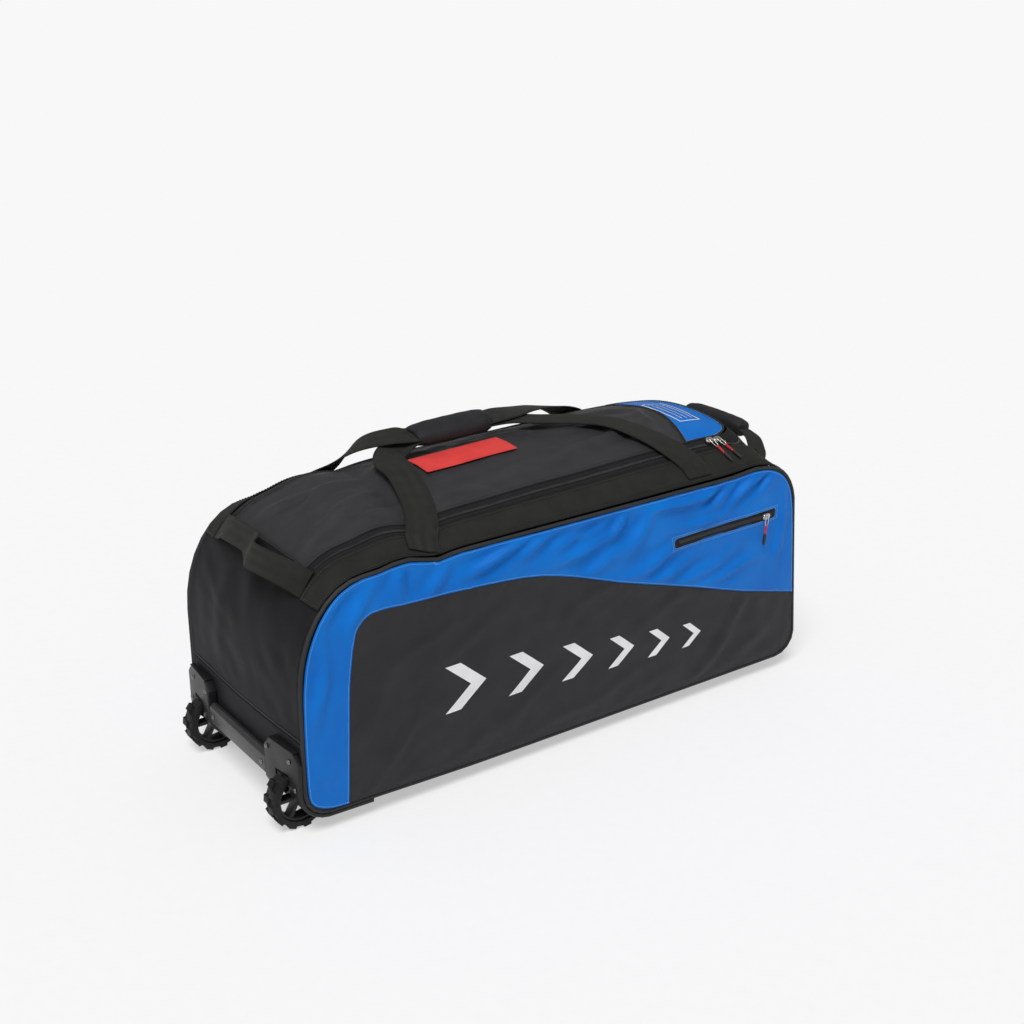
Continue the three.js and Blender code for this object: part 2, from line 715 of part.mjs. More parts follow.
function kickSeamPoint(share) {
  const y = lerp(-bandOuter, bandOuter, share);
  return shellPoint(kickPlace - 8, y, -pipingRadius / 2);
}
const kickSeamCurve = new THREE.CatmullRomCurve3([0, 0.25, 0.5, 0.75, 1].map(kickSeamPoint));
const cordSection = new THREE.Shape(new THREE.EllipseCurve(0, 0, 1.9, 1.9).getPoints(6).slice(0, 6));
addPiece(
  "kick_piping",
  new THREE.ExtrudeGeometry(cordSection, { steps: 8, extrudePath: kickSeamCurve, bevelEnabled: false }),
  materials.piping,
);

// Piping round both long sides

const pipingPlaces = stations.filter((place) => place < 8);

function pipingRing(sign) {
  const sides = 5;
  const places = [];
  const faces = [];
  for (const place of pipingPlaces) {
    const o = outlineAt(place);
    for (let k = 0; k < sides; k += 1) {
      const turn = (2 * Math.PI * k) / sides;
      const out = pipingRadius * Math.cos(turn);
      places.push(o.x + o.nx * out, sign * halfWidth + pipingRadius * Math.sin(turn), o.z + o.nz * out);
    }
  }
  const rings = pipingPlaces.length;
  for (let i = 0; i < rings; i += 1) {
    for (let k = 0; k < sides; k += 1) {
      const next = ((i + 1) % rings) * sides;
      const here = i * sides;
      const turn = (k + 1) % sides;
      faces.push(here + k, here + turn, next + turn, here + k, next + turn, next + k);
    }
  }
  const geometry = new THREE.BufferGeometry();
  geometry.setAttribute("position", new THREE.Float32BufferAttribute(places, 3));
  geometry.setIndex(faces);
  return faceOutward(geometry);
}
for (const [side, sign] of [["front", -1], ["back", 1]]) {
  addPiece(`piping_${side}`, pipingRing(sign), materials.piping);
}

// Top: webbing bands, zip tape, lid and its coloured patch

for (const [side, sign] of [["front", -1], ["back", 1]]) {
  const span = always([sign * bandInner, sign * bandOuter]);
  addPiece(
    `top_band_${side}`,
    shellPatch(always(tabPlace), always(bandFarPlace), span, 1, webbingWall, bandLift),
    materials.webbing,
  );
}

// The place some millimetres further along, from the top edge on to the far corner
const farCornerRun = (Math.PI / 2) * (Math.hypot(corners.topFar.run, corners.topFar.rise) / Math.SQRT2);
function stepPlace(place, distance) {
  const toCorner = (3 - place) * topRun;
  if (distance <= toCorner) return place + distance / topRun;
  return 3 + (distance - toCorner) / farCornerRun;
}

// The far edge of the lid at some Y, rounded at its two corners
function lidFarAt(y, grow, radius) {
  const side = lidHalf + grow - radius;
  const past = clamp(Math.abs(y) - side, 0, radius);
  const cutBack = radius - Math.sqrt(Math.max(0, radius ** 2 - past ** 2));
  return stepPlace(lidFarPlace, grow - cutBack);
}

// The curved seam of the patch, as shares of the lid's half width and the patch's depth
const patchSeam = [
  { across: -1, depth: 1.6 },
  { across: -0.65, depth: 1.32 },
  { across: 0, depth: 1 },
  { across: 0.6, depth: 1.13 },
  { across: 1, depth: 1.45 },
];
function patchSeamAt(y) {
  const depth = lidPatchDepth * readTable(patchSeam, "across", "depth", y / lidHalf);
  return stepPlace(lidFarPlace, -depth);
}

const lidSpan = always([-lidHalf, lidHalf]);
const lidRows = [0, 0.06, 0.24, 0.5, 0.76, 0.94, 1];
addPiece(
  "lid_panel",
  shellPatch(
    always(lidWheelPlace),
    (y) => stepPlace(patchSeamAt(y), -seatGap),
    lidSpan,
    lidRows,
    clothWall,
  ),
  materials.blackCloth,
);
addPiece(
  "lid_patch",
  shellPatch(patchSeamAt, (y) => lidFarAt(y, 0, lidCornerRadius), lidSpan, lidRows, clothWall),
  materials.blueCloth,
);

// The zip's U in four stretches: along the front to 1, on to the corner by 2, round it by 3, half of
// the far edge by 4, and then the same backwards
const zipEnd = 8;
const zipStraightPlace = stepPlace(lidFarPlace, -2 * lidCornerRadius);
function zipWalk(at, grow, radius) {
  const mirror = at > zipEnd / 2 ? 1 : -1;
  const walk = at > zipEnd / 2 ? zipEnd - at : at;
  const side = lidHalf + grow;
  const arcPlace = stepPlace(lidFarPlace, grow - radius);
  if (walk <= 1) return { place: lerp(lidWheelPlace, zipStraightPlace, walk), y: mirror * side };
  if (walk <= 2) return { place: lerp(zipStraightPlace, arcPlace, walk - 1), y: mirror * side };
  if (walk <= 3) {
    const angle = ((walk - 2) * Math.PI) / 2;
    return {
      place: stepPlace(lidFarPlace, grow - radius + Math.sin(angle) * radius),
      y: mirror * (side - radius + Math.cos(angle) * radius),
    };
  }
  return { place: stepPlace(lidFarPlace, grow), y: mirror * lerp(side - radius, 0, walk - 3) };
}
const zipHalf = [
  ...sharesBetween(lidWheelPlace, zipStraightPlace),
  ...evenShares(2).slice(1).map((share) => 1 + share),
  ...evenShares(6).slice(1).map((share) => 2 + share),
  ...evenShares(3).slice(1).map((share) => 3 + share),
];
const zipColumns = [...zipHalf, ...zipHalf.slice(0, -1).reverse().map((at) => zipEnd - at)];
const zipSink = 0.2;
addPiece(
  "zip_tape",
  sheet(
    (at, v, lift) => {
      const inner = zipWalk(at, seatGap, lidCornerRadius);
      const outer = zipWalk(at, seatGap + zipTapeWidth, seatGap * 4);
      return shellPoint(lerp(inner.place, outer.place, v), lerp(inner.y, outer.y, v), lift - zipSink);
    },
    zipColumns,
    1,
    clothWall,
  ),
  materials.zipTape,
);
addPiece(
  "top_band_far",
  shellPatch(
    always(stepPlace(lidFarPlace, zipTapeWidth + 3 * seatGap)),
    always(farSeamPlace - 0.006),
    always([-bandInner, bandInner]),
    8,
    webbingWall,
  ),
  materials.webbing,
);

// Where the label sits on the lid, from the bag's middle
const labelMiddleX = -72;
const labelMiddleY = 4;
addPiece(
  "lid_label",
  shellPatch(
    always(topPlace(labelMiddleX - labelLength / 2)),
    always(topPlace(labelMiddleX + labelLength / 2)),
    always([labelMiddleY - labelWidth / 2, labelMiddleY + labelWidth / 2]),
    2,
    labelWall,
    labelWall + layerGap,
  ),
  materials.redLabel,
);

// Straps: a ribbon through rows of places, with its width turned in plan and tipped up

function topSurfaceZ(x, y) {
  return shellPoint(topPlace(x), y).z;
}

// Along is a share of half the strap spacing, across of half the bag's width, lift of the grip's lift
function strapRow(row) {
  const x = (row.along * strapSpacing) / 2;
  const y = row.across * halfWidth;
  const probe = strapWidth / 4;
  const slope = Math.atan2(topSurfaceZ(x + probe, y) - topSurfaceZ(x - probe, y), 2 * probe);
  const lying = clamp(1 - 2 * row.lift, 0, 1) * Math.cos(THREE.MathUtils.degToRad(row.turn));
  const turn = THREE.MathUtils.degToRad(row.turn);
  const tip = THREE.MathUtils.degToRad(row.tip) + slope * lying;
  return {
    middle: new THREE.Vector3(x, y, topSurfaceZ(x, y) + strapLift + row.lift * gripLift),
    width: new THREE.Vector3(Math.cos(tip) * Math.cos(turn), Math.cos(tip) * Math.sin(turn), Math.sin(tip)),
  };
}

function ribbon(rows, width, wall, steps, liftStrand) {
  const places = rows.map(strapRow);
  places.forEach((place, i) => {
    place.middle.z += rows[i].held ? liftStrand : 0;
  });
  const path = new THREE.CatmullRomCurve3(places.map((place) => place.middle), false, "centripetal");
  const turn = new THREE.CatmullRomCurve3(places.map((place) => place.width), false, "centripetal");
  const pointAt = (u, v, depth) => {
    const middle = path.getPoint(u);
    const tangent = path.getTangent(u);
    const across = turn.getPoint(u);
    across.addScaledVector(tangent, -across.dot(tangent)).normalize();
    const out = new THREE.Vector3().crossVectors(across, tangent).normalize();
    middle.addScaledVector(across, (v - 0.5) * width).addScaledVector(out, depth);
    middle.z = Math.max(middle.z, topSurfaceZ(middle.x, middle.y) + strapLift + depth);
    return middle;
  };
  return sheet(pointAt, steps, 2, wall);
}

// The held rows run inside the grip
const gripLeft = -0.52;
const gripRight = gripLeft + gripLength / (strapSpacing / 2);
const gripAcross = 0.36;
const heldRows = evenShares(4).map((share) => (
  { along: lerp(gripLeft, gripRight, share), across: gripAcross, lift: 1, turn: -90, tip: -8, held: true }
));

const frontStrapRows = [
  { along: -1, across: -0.955, lift: 0, turn: 0, tip: 0 },
  { along: -0.97, across: -0.84, lift: 0, turn: 0, tip: 0 },
  { along: -0.92, across: -0.74, lift: 0.02, turn: 0, tip: 0 },
  { along: -0.87, across: -0.6, lift: 0.05, turn: 0, tip: 0 },
  { along: -0.8, across: -0.32, lift: 0.12, turn: 0, tip: 0 },
  { along: -0.77, across: -0.03, lift: 0.35, turn: -2, tip: 6 },
  { along: -0.75, across: 0.17, lift: 0.34, turn: -24, tip: 4 },
  { along: -0.66, across: 0.31, lift: 0.4, turn: -68, tip: -15 },
  ...heldRows,
  { along: 0.2, across: 0.355, lift: 0.72, turn: -98, tip: -4 },
  { along: 0.38, across: 0.27, lift: 0.28, turn: -114, tip: 0 },
  { along: 0.56, across: 0.13, lift: 0.08, turn: -128, tip: 0 },
  { along: 0.72, across: -0.06, lift: 0.04, turn: -140, tip: 0 },
  { along: 0.83, across: -0.34, lift: 0.04, turn: -154, tip: 0 },
  { along: 0.91, across: -0.62, lift: 0.04, turn: -168, tip: 0 },
  { along: 0.97, across: -0.76, lift: 0.02, turn: -176, tip: 0 },
  { along: 1, across: -0.86, lift: 0, turn: -180, tip: 0 },
  { along: 1, across: -0.955, lift: 0, turn: -180, tip: 0 },
];

const backStrapRows = [
  { along: -1, across: 0.955, lift: 0, turn: -180, tip: 0 },
  { along: -0.99, across: 0.88, lift: 0.06, turn: -178, tip: 0 },
  { along: -0.9, across: 0.79, lift: 0.4, turn: -165, tip: 0 },
  { along: -0.77, across: 0.63, lift: 1.02, turn: -132, tip: -10 },
  { along: -0.63, across: 0.44, lift: 1.24, turn: -106, tip: -10 },
  ...heldRows,
  { along: 0.2, across: 0.41, lift: 1.08, turn: -76, tip: -6 },
  { along: 0.42, across: 0.57, lift: 0.96, turn: -56, tip: 0 },
  { along: 0.64, across: 0.69, lift: 0.82, turn: -44, tip: 0 },
  { along: 0.84, across: 0.79, lift: 0.56, turn: -26, tip: 0 },
  { along: 0.97, across: 0.88, lift: 0.18, turn: -8, tip: 0 },
  { along: 1, across: 0.955, lift: 0, turn: 0, tip: 0 },
];

const strandLift = webbingWall / 2 + layerGap;
const frontStrap = ribbon(frontStrapRows, strapWidth, webbingWall, 36, -strandLift);
const backStrap = ribbon(backStrapRows, strapWidth, webbingWall, 30, strandLift);
addPiece("carry_strap_front", frontStrap, materials.webbing);
addPiece("carry_strap_back", backStrap, materials.webbing);

// A padded sleeve: rings of an outer section round a slot that the straps pass through
function sleeve(frames, width, height, slotWidth, slotHeight, sides) {
  const places = [];
  const faces = [];
  const ring = (frame, halfX, halfY, power) => {
    for (let k = 0; k < sides; k += 1) {
      const turn = (2 * Math.PI * (k + 0.5)) / sides;
      const [c, q] = [Math.cos(turn), Math.sin(turn)];
      const across = Math.sign(c) * Math.abs(c) ** power * halfX;
      const up = Math.sign(q) * Math.abs(q) ** power * halfY;
      const point = frame.middle.clone().addScaledVector(frame.across, across);
      places.push(...point.addScaledVector(frame.up, up).toArray());
    }
  };
  for (const frame of frames) ring(frame, (frame.scale * width) / 2, (frame.scale * height) / 2, 0.75);
  for (const frame of frames) ring(frame, slotWidth / 2, slotHeight / 2, 0.3);
  const last = frames.length - 1;
  const at = (layer, i, k) => (layer * frames.length + i) * sides + (k % sides);
  const quad = (a, b, c, d) => faces.push(a, b, c, a, c, d);
  for (let k = 0; k < sides; k += 1) {
    for (let i = 0; i < last; i += 1) {
      quad(at(0, i, k), at(0, i, k + 1), at(0, i + 1, k + 1), at(0, i + 1, k));
      quad(at(1, i + 1, k), at(1, i + 1, k + 1), at(1, i, k + 1), at(1, i, k));
    }
    quad(at(0, 0, k), at(1, 0, k), at(1, 0, k + 1), at(0, 0, k + 1));
    quad(at(0, last, k + 1), at(1, last, k + 1), at(1, last, k), at(0, last, k));
  }
  const geometry = new THREE.BufferGeometry();
  geometry.setAttribute("position", new THREE.Float32BufferAttribute(places, 3));
  geometry.setIndex(faces);
  return faceOutward(geometry);
}

function gripFrame(share) {
  const held = heldRows.map(strapRow);
  const path = new THREE.CatmullRomCurve3(held.map((place) => place.middle));
  const pinch = 1 - 0.14 * (2 * share - 1) ** 6;
  const middle = path.getPoint(lerp(0.02, 0.98, share));
  middle.z -= webbingWall / 2;
  const tangent = path.getTangent(share);
  const across = held[2].width.clone();
  across.addScaledVector(tangent, -across.dot(tangent)).normalize();
  return { middle, across, up: new THREE.Vector3().crossVectors(across, tangent), scale: pinch };
}
const slotHeight = 2 * webbingWall + 3 * layerGap;
addPiece(
  "grip_wrap",
  sleeve(
    [0, 0.12, 0.35, 0.65, 0.88, 1].map(gripFrame),
    gripWidth,
    gripHeight,
    strapWidth + 2 * layerGap + 1,
    slotHeight + 2,
    12,
  ),
  materials.padding,
);

// Grab handles at the two ends: straps sewn down at both feet and standing off the shell between

// Across is a share of half the span, lift of the rise, width of the strap's width. Lean is the way
// the handle stands up, in degrees from upright towards its end of the bag.
function grabStrap(rows, handle) {
  const middles = rows.map((row) => new THREE.Vector3(row.across * handle.halfSpan, row.lift, row.width));
  const path = new THREE.CatmullRomCurve3(middles, false, "centripetal");
  const lean = THREE.MathUtils.degToRad(handle.lean);
  const up = new THREE.Vector3(Math.sin(lean), 0, Math.cos(lean));
  const across = new THREE.Vector3(Math.cos(lean), 0, -Math.sin(lean));
  return (u, v, depth) => {
    const row = path.getPoint(u);
    const offset = (v - 0.5) * row.z * grabWidth;
    const foot = handle.footLift + webbingWall;
    const lying = shellPoint(handle.place + offset / handle.perPlace, row.x, foot + depth);
    const standing = shellPoint(handle.place, row.x, foot);
    standing.addScaledVector(up, handle.rise * Math.max(0, row.y) + depth);
    standing.addScaledVector(across, offset);
    return lying.lerp(standing, smooth(clamp(row.y * 2, 0, 1)));
  };
}

// The rows of one half of a handle, mirrored to the other
function bothHalves(rows) {
  const mirrored = rows.slice(0, -1).reverse().map((row) => ({ ...row, across: -row.across }));
  return [...rows, ...mirrored];
}

const wheelGrabRows = bothHalves([
  { across: -1, lift: 0, width: 1 },
  { across: -0.9, lift: 0.06, width: 1 },
  { across: -0.74, lift: 0.42, width: 1 },
  { across: -0.42, lift: 0.84, width: 0.96 },
  { across: 0, lift: 1, width: 0.92 },
]);
const wheelGrab = grabStrap(wheelGrabRows, {
  place: (tabPlace + lidWheelPlace) / 2 + 0.01,
  perPlace: 215,
  halfSpan: bandInner - 2,
  rise: wheelGrabRise,
  footLift: 2 * layerGap,
  lean: -38,
});
addPiece("grab_handle_wheel", sheet(wheelGrab, 16, 2, webbingWall), materials.webbing);

const farGrabRows = bothHalves([
  { across: -1, lift: 0, width: 1 },
  { across: -0.94, lift: 0.08, width: 1 },
  { across: -0.84, lift: 0.5, width: 0.86 },
  { across: -0.7, lift: 0.86, width: 0.62 },
  { across: -0.5, lift: 0.98, width: 0.52 },
  { across: 0, lift: 1, width: 0.5 },
]);
const farGrab = grabStrap(farGrabRows, {
  place: 3.38,
  perPlace: farCornerRun,
  halfSpan: farGrabSpan / 2,
  rise: farGrabRise,
  footLift: 2 * layerGap,
  lean: 8,
});
const farGrabSteps = 24;
addPiece("grab_handle_far", sheet(farGrab, farGrabSteps, 2, webbingWall), materials.webbing);

const padSteps = [9, 10, 11, 12, 13, 14, 15];
function farPadFrame(step) {
  const u = step / farGrabSteps;
  const middle = farGrab(u, 0.5, -webbingWall / 2);
  const across = farGrab(u, 1, 0).sub(farGrab(u, 0, 0)).normalize();
  const tangent = farGrab(u + 0.01, 0.5, 0).sub(farGrab(u - 0.01, 0.5, 0)).normalize();
  const scale = padSteps.indexOf(step) % (padSteps.length - 1) === 0 ? 0.86 : 1;
  return { middle, across, up: new THREE.Vector3().crossVectors(across, tangent).normalize(), scale };
}
addPiece(
  "grab_pad_far",
  sleeve(
    padSteps.map(farPadFrame),
    grabPadDiameter * 1.1,
    grabPadDiameter,
    grabWidth * 0.56 + 4,
    webbingWall + 3 * seatGap,
    10,
  ),
  materials.padding,
);

// Wheel housings, their axles, rivets and the guard bar between them

function rivetAt(y, z, x) {
  const profile = [
    new THREE.Vector2(0, 0),
    new THREE.Vector2(rivetRadius, 0),
    new THREE.Vector2(rivetRadius * 0.7, 1.5),
    new THREE.Vector2(0, 2),
  ];
  const geometry = new THREE.LatheGeometry(profile, 8);
  geometry.rotateZ(Math.PI / 2);
  return faceOutward(plainGeometry(geometry.translate(x, y, z)));
}

const rivetRows = [
  { across: -0.41, z: housingTop - 11 },
  { across: 0.24, z: housingTop - 12 },
  { across: 0.38, z: wheelZ + 28 },
];
for (const [side, sign] of [["front", -1], ["back", 1]]) {
  addPiece(`wheel_housing_${side}`, geometryOf(housing(sign)), materials.moulding);
  rivetRows.forEach((row, i) => {
    const y = sign * (flangeMiddle + row.across * housingWidth);
    const seatX = wheelEndX - flangeOuter - plateSlope(Math.abs(y) - rivetRadius) - seatGap;
    addPiece(`housing_rivet_${side}_${i + 1}`, rivetAt(y, row.z, seatX), materials.steel);
  });
}

const barHalf = flangeMiddle - housingWidth / 2 - seatGap;
const barInnerX = wheelEndX - 5;
function guardBar() {
  const shape = new THREE.Shape();
  const low = barMidHeight - barHeight / 2;
  const high = barMidHeight + barHeight / 2;
  shape.moveTo(barInnerX, low + 1);
  shape.lineTo(barInnerX - barWall * 0.55, low);
  shape.lineTo(barInnerX - barWall, low + 5);
  shape.lineTo(barInnerX - barWall, high - 5);
  shape.lineTo(barInnerX - barWall * 0.55, high);
  shape.lineTo(barInnerX, high - 1);
  return uprightExtrude(shape, 2 * barHalf, 0, 1.5);
}
addPiece("guard_bar", plainGeometry(guardBar()), materials.barPlastic);
[-1, 1].forEach((sign, i) => {
  const y = sign * (barHalf - 12);
  addPiece(`bar_rivet_${i + 1}`, rivetAt(y, barMidHeight, barInnerX - barWall - seatGap), materials.steel);
});

// Wheels: a spoked rim inside a tyre with two rows of lugs, turning on a fixed axle

// One toothed row of the tread, from the wheel's middle out to one face
function treadRow(side) {
  const crown = wheelRadius - lugHeight;
  const pitch = (2 * Math.PI) / lugCount;
  const corner = (turn, radius) => new THREE.Vector2(radius * Math.cos(turn), radius * Math.sin(turn));
  const points = [];
  for (let i = 0; i < lugCount; i += 1) {
    const start = (i + (side > 0 ? 0.5 : 0)) * pitch;
    points.push(corner(start, crown), corner(start + 0.06 * pitch, wheelRadius));
    points.push(corner(start + 0.5 * pitch, wheelRadius), corner(start + 0.56 * pitch, crown));
  }
  return uprightExtrude(new THREE.Shape(points), wheelWidth / 2 + 0.2, (side * wheelWidth) / 4);
}

function tyreSolid() {
  const bore = wheelRadius - tyreDepth;
  return cut(join([treadRow(-1), treadRow(1)]), [barrel(bore, 2 * wheelWidth, rimSides, 0, 0, 0)]);
}

function rimGeometry() {
  const half = wheelWidth / 2;
  const outer = wheelRadius - tyreDepth - seatGap;
  const ringHalf = half - 2.5;
  const bore = axleRadius + runningGap;
  const hub = bore + 6;
  const band = [
    new THREE.Vector2(outer - 4, -ringHalf),
    new THREE.Vector2(outer, -ringHalf),
    new THREE.Vector2(outer, ringHalf),
    new THREE.Vector2(outer - 4, ringHalf),
    new THREE.Vector2(outer - 4, -ringHalf),
  ];
  const core = [
    new THREE.Vector2(bore, -half),
    new THREE.Vector2(hub, -half),
    new THREE.Vector2(hub, half),
    new THREE.Vector2(bore, half),
    new THREE.Vector2(bore, -half),
  ];
  const parts = [new THREE.LatheGeometry(band, rimSides), new THREE.LatheGeometry(core, 12)];
  for (let i = 0; i < spokeCount; i += 1) {
    const spoke = new THREE.BoxGeometry(outer - hub, 0.6 * wheelWidth, 5);
    spoke.translate((outer + hub) / 2 - 1.5, 0, 0);
    spoke.rotateY((2 * Math.PI * i) / spokeCount);
    parts.push(spoke);
  }
  return join(parts);
}

for (const [side, sign] of [["front", -1], ["back", 1]]) {
  const middle = (sign * wheelTrack) / 2;
  const wheel = new THREE.Group();
  wheel.position.set(wheelX, middle, wheelZ);
  bag.add(wheel);
  addPiece(`tyre_${side}`, geometryOf(tyreSolid()), materials.rubber, wheel);
  addPiece(`rim_${side}`, geometryOf(rimGeometry()), materials.rimPlastic, wheel);
  const axleLength = 2 * (wellHalf + wellWall);
  const axle = new THREE.CylinderGeometry(axleRadius, axleRadius, axleLength, 12);
  addPiece(`axle_${side}`, plainGeometry(axle), materials.steel, wheel);
}

// Zip sliders and their pulls

// Turns a piece made along +X, with +Z up, onto a line from one point to another
function layAlong(geometry, from, to, up) {
  const along = to.clone().sub(from).normalize();
  const side = new THREE.Vector3().crossVectors(up, along).normalize();
  const out = new THREE.Vector3().crossVectors(along, side);
  const turn = new THREE.Matrix4().makeBasis(along, side, out).setPosition(from);
  return geometry.applyMatrix4(turn);
}

function roundEndedPlate(length, width, thickness, hole) {
  const shape = new THREE.Shape();
  const r = width / 2;
  shape.moveTo(r, -r);
  shape.lineTo(length - r, -r);
  shape.absarc(length - r, 0, r, -Math.PI / 2, Math.PI / 2);
  shape.lineTo(r, r);
  shape.absarc(r, 0, r, Math.PI / 2, (3 * Math.PI) / 2);
  if (hole > 0) {
    const opening = new THREE.Path();
    opening.absellipse(length / 2, 0, length / 2 - r + hole / 2, hole / 2, 0, 2 * Math.PI, true);
    shape.holes.push(opening);
  }
  return new THREE.ExtrudeGeometry(shape, { depth: thickness, bevelEnabled: false, curveSegments: 3 });
}

function turnedAlongX(radii, length, sides) {
  const profile = radii.map((radius, i) => new THREE.Vector2(radius, (length * i) / (radii.length - 1)));
  const closed = [new THREE.Vector2(0, 0), ...profile, new THREE.Vector2(0, length)];
  return new THREE.LatheGeometry(closed, sides).rotateZ(-Math.PI / 2);
}

function addZipPull(name, seat, along, start, end, up) {
  const body = roundEndedPlate(sliderLength, sliderWidth, sliderHeight, 0);
  const centre = seat.clone().addScaledVector(along, -sliderLength / 2).addScaledVector(up, seatGap);
  addPiece(`${name}_slider`, plainGeometry(layAlong(body, centre, seat, up)), materials.steel);
  const line = end.clone().sub(start);
  const at = (share) => start.clone().addScaledVector(line, share);
  const gap = seatGap / line.length();
  const tabShare = 0.3;
  const cordShare = 0.6;
  const whole = line.length();
  const tab = roundEndedPlate(tabShare * whole, tabWidth, tabWall, tabSlotWidth);
  const cord = turnedAlongX([pullCordRadius, pullCordRadius], (cordShare - tabShare) * whole - seatGap, 6);
  const endRadii = [0.81 * pullEndRadius, pullEndRadius, 0.75 * pullEndRadius];
  const rubberEnd = turnedAlongX(endRadii, (1 - cordShare) * whole - seatGap, 6);
  const parts = [
    ["tab", tab, 0, materials.steel],
    ["cord", cord, tabShare + gap, materials.redCord],
    ["end", rubberEnd, cordShare + gap, materials.rubber],
  ];
  for (const [part, geometry, share, material] of parts) {
    const lift = part === "tab" ? -tabWall / 2 : 0;
    const from = at(share).addScaledVector(up, lift);
    const to = at(1).addScaledVector(up, lift);
    addPiece(`${name}_pull_${part}`, plainGeometry(layAlong(geometry, from, to, up)), material);
  }
}

const pocketSliderX = pocketFarX - 23;
const pocketSliderZ = pocketZipHeight + pocketRise * 0.4;
const pocketFace = -(panelY + bulgeAt(pocketSliderX, pocketSliderZ));
const pullStandOff = sliderHeight + 2 * seatGap + tabWall / 2;
addZipPull(
  "pocket",
  new THREE.Vector3(pocketSliderX, pocketFace, pocketSliderZ),
  new THREE.Vector3(1, 0, 0),
  new THREE.Vector3(pocketSliderX, pocketFace - pullStandOff, pocketSliderZ + 2),
  new THREE.Vector3(pocketSliderX - 4, pocketFace - pullStandOff + 1, pocketSliderZ + 2 - pullLength),
  new THREE.Vector3(0, -1, 0),
);

// The middle line of the zip beside the lid, at some X that is then walked on round the lid's far corner
const zipTurnRadius = lidCornerRadius / 2;
const zipTurnX = lidFarX + zipTapeWidth / 2 - zipTurnRadius;
function zipMiddle(x) {
  const turn = clamp((x - zipTurnX) / zipTurnRadius, 0, Math.PI / 2);
  const pastTurn = Math.max(0, x - zipTurnX - (zipTurnRadius * Math.PI) / 2);
  return {
    x: Math.min(x, zipTurnX) + zipTurnRadius * Math.sin(turn),
    y: pastTurn - zipLine + zipTurnRadius * (1 - Math.cos(turn)),
    along: new THREE.Vector3(Math.cos(turn), Math.sin(turn), 0),
    outward: new THREE.Vector3(Math.sin(turn), -Math.cos(turn), 0),
  };
}
const zipPlace = (x) => stepPlace(lidFarPlace, x - lidFarX);

// The two sliders of the lid's zip wait past the front strap's foot, with their pulls lying on the band
const strapFootX = (strapSpacing + strapWidth) / 2;
const pullRun = halfWidth - pullLandInset - zipLine;
[0, 1].forEach((i) => {
  const middle = zipMiddle(strapFootX + sliderClear + i * (sliderLength + sliderApart));
  const seat = shellPoint(zipPlace(middle.x), middle.y, mainSliderSeat);
  const normal = middle.outward.clone().multiplyScalar(0.6).add(new THREE.Vector3(0, 0, 0.8));
  const start = seat.clone().addScaledVector(normal, pullStandOff);
  const target = new THREE.Vector3(middle.x, middle.y, 0)
    .addScaledVector(middle.along, pullLean)
    .addScaledVector(middle.outward, pullRun);
  const landing = shellPoint(zipPlace(target.x), target.y, bandLift + pullEndRadius + seatGap);
  const reach = start.clone().lerp(landing, pullLength / start.distanceTo(landing));
  addZipPull(`main_${i + 1}`, seat, middle.along, start, reach, normal);
});

// The origin goes to the middle of the length, between the wheels' treads and the far end
const extent = new THREE.Box3().setFromObject(bag);
bag.position.x = -(extent.min.x + extent.max.x) / 2;
bag.updateMatrixWorld(true);
export default bag;
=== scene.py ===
import math

import bmesh
import bpy
import numpy as np
from mathutils import Matrix, Vector, noise
from mathutils.bvhtree import BVHTree
from mathutils.kdtree import KDTree


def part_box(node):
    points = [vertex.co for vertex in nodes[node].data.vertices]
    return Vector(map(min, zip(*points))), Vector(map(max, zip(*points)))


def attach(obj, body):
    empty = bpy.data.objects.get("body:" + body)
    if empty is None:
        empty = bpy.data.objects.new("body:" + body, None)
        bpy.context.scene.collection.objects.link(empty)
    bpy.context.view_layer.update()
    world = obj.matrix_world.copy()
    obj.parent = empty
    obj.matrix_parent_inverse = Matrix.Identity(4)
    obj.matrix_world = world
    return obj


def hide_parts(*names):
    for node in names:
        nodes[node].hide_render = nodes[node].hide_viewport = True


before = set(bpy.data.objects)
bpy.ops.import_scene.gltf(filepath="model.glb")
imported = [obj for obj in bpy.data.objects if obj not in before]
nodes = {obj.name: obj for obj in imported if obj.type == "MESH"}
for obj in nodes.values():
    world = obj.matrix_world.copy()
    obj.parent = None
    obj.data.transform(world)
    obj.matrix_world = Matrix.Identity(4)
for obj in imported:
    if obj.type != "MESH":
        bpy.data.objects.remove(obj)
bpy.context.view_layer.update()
scene = bpy.context.scene
mm = 0.001
print("frame loaded with", len(nodes), "nodes")

# Camera, lights and floor

stageLook = {
    "cameraAt": (-1.2185, -1.7409, 1.1353),
    "cameraTo": (0.0211, 0.0, 0.3124),
    "lens": 53.34,
    "worldStrength": 0.3,
    "floorHalf": 60,
    "floorGlow": 0.47,
    "suns": [
        # direction it shines from, strength, softness in degrees
        ((-0.42, -0.42, 1.0), 2.5, 28),
    ],
}


def placeCamera():
    camera = bpy.data.objects.new("camera", bpy.data.cameras.new("camera"))
    scene.collection.objects.link(camera)
    camera.data.lens = stageLook["lens"]
    camera.data.sensor_width = 36
    camera.location = stageLook["cameraAt"]
    line = Vector(stageLook["cameraTo"]) - camera.location
    camera.rotation_euler = line.to_track_quat("-Z", "Y").to_euler()
    scene.camera = camera


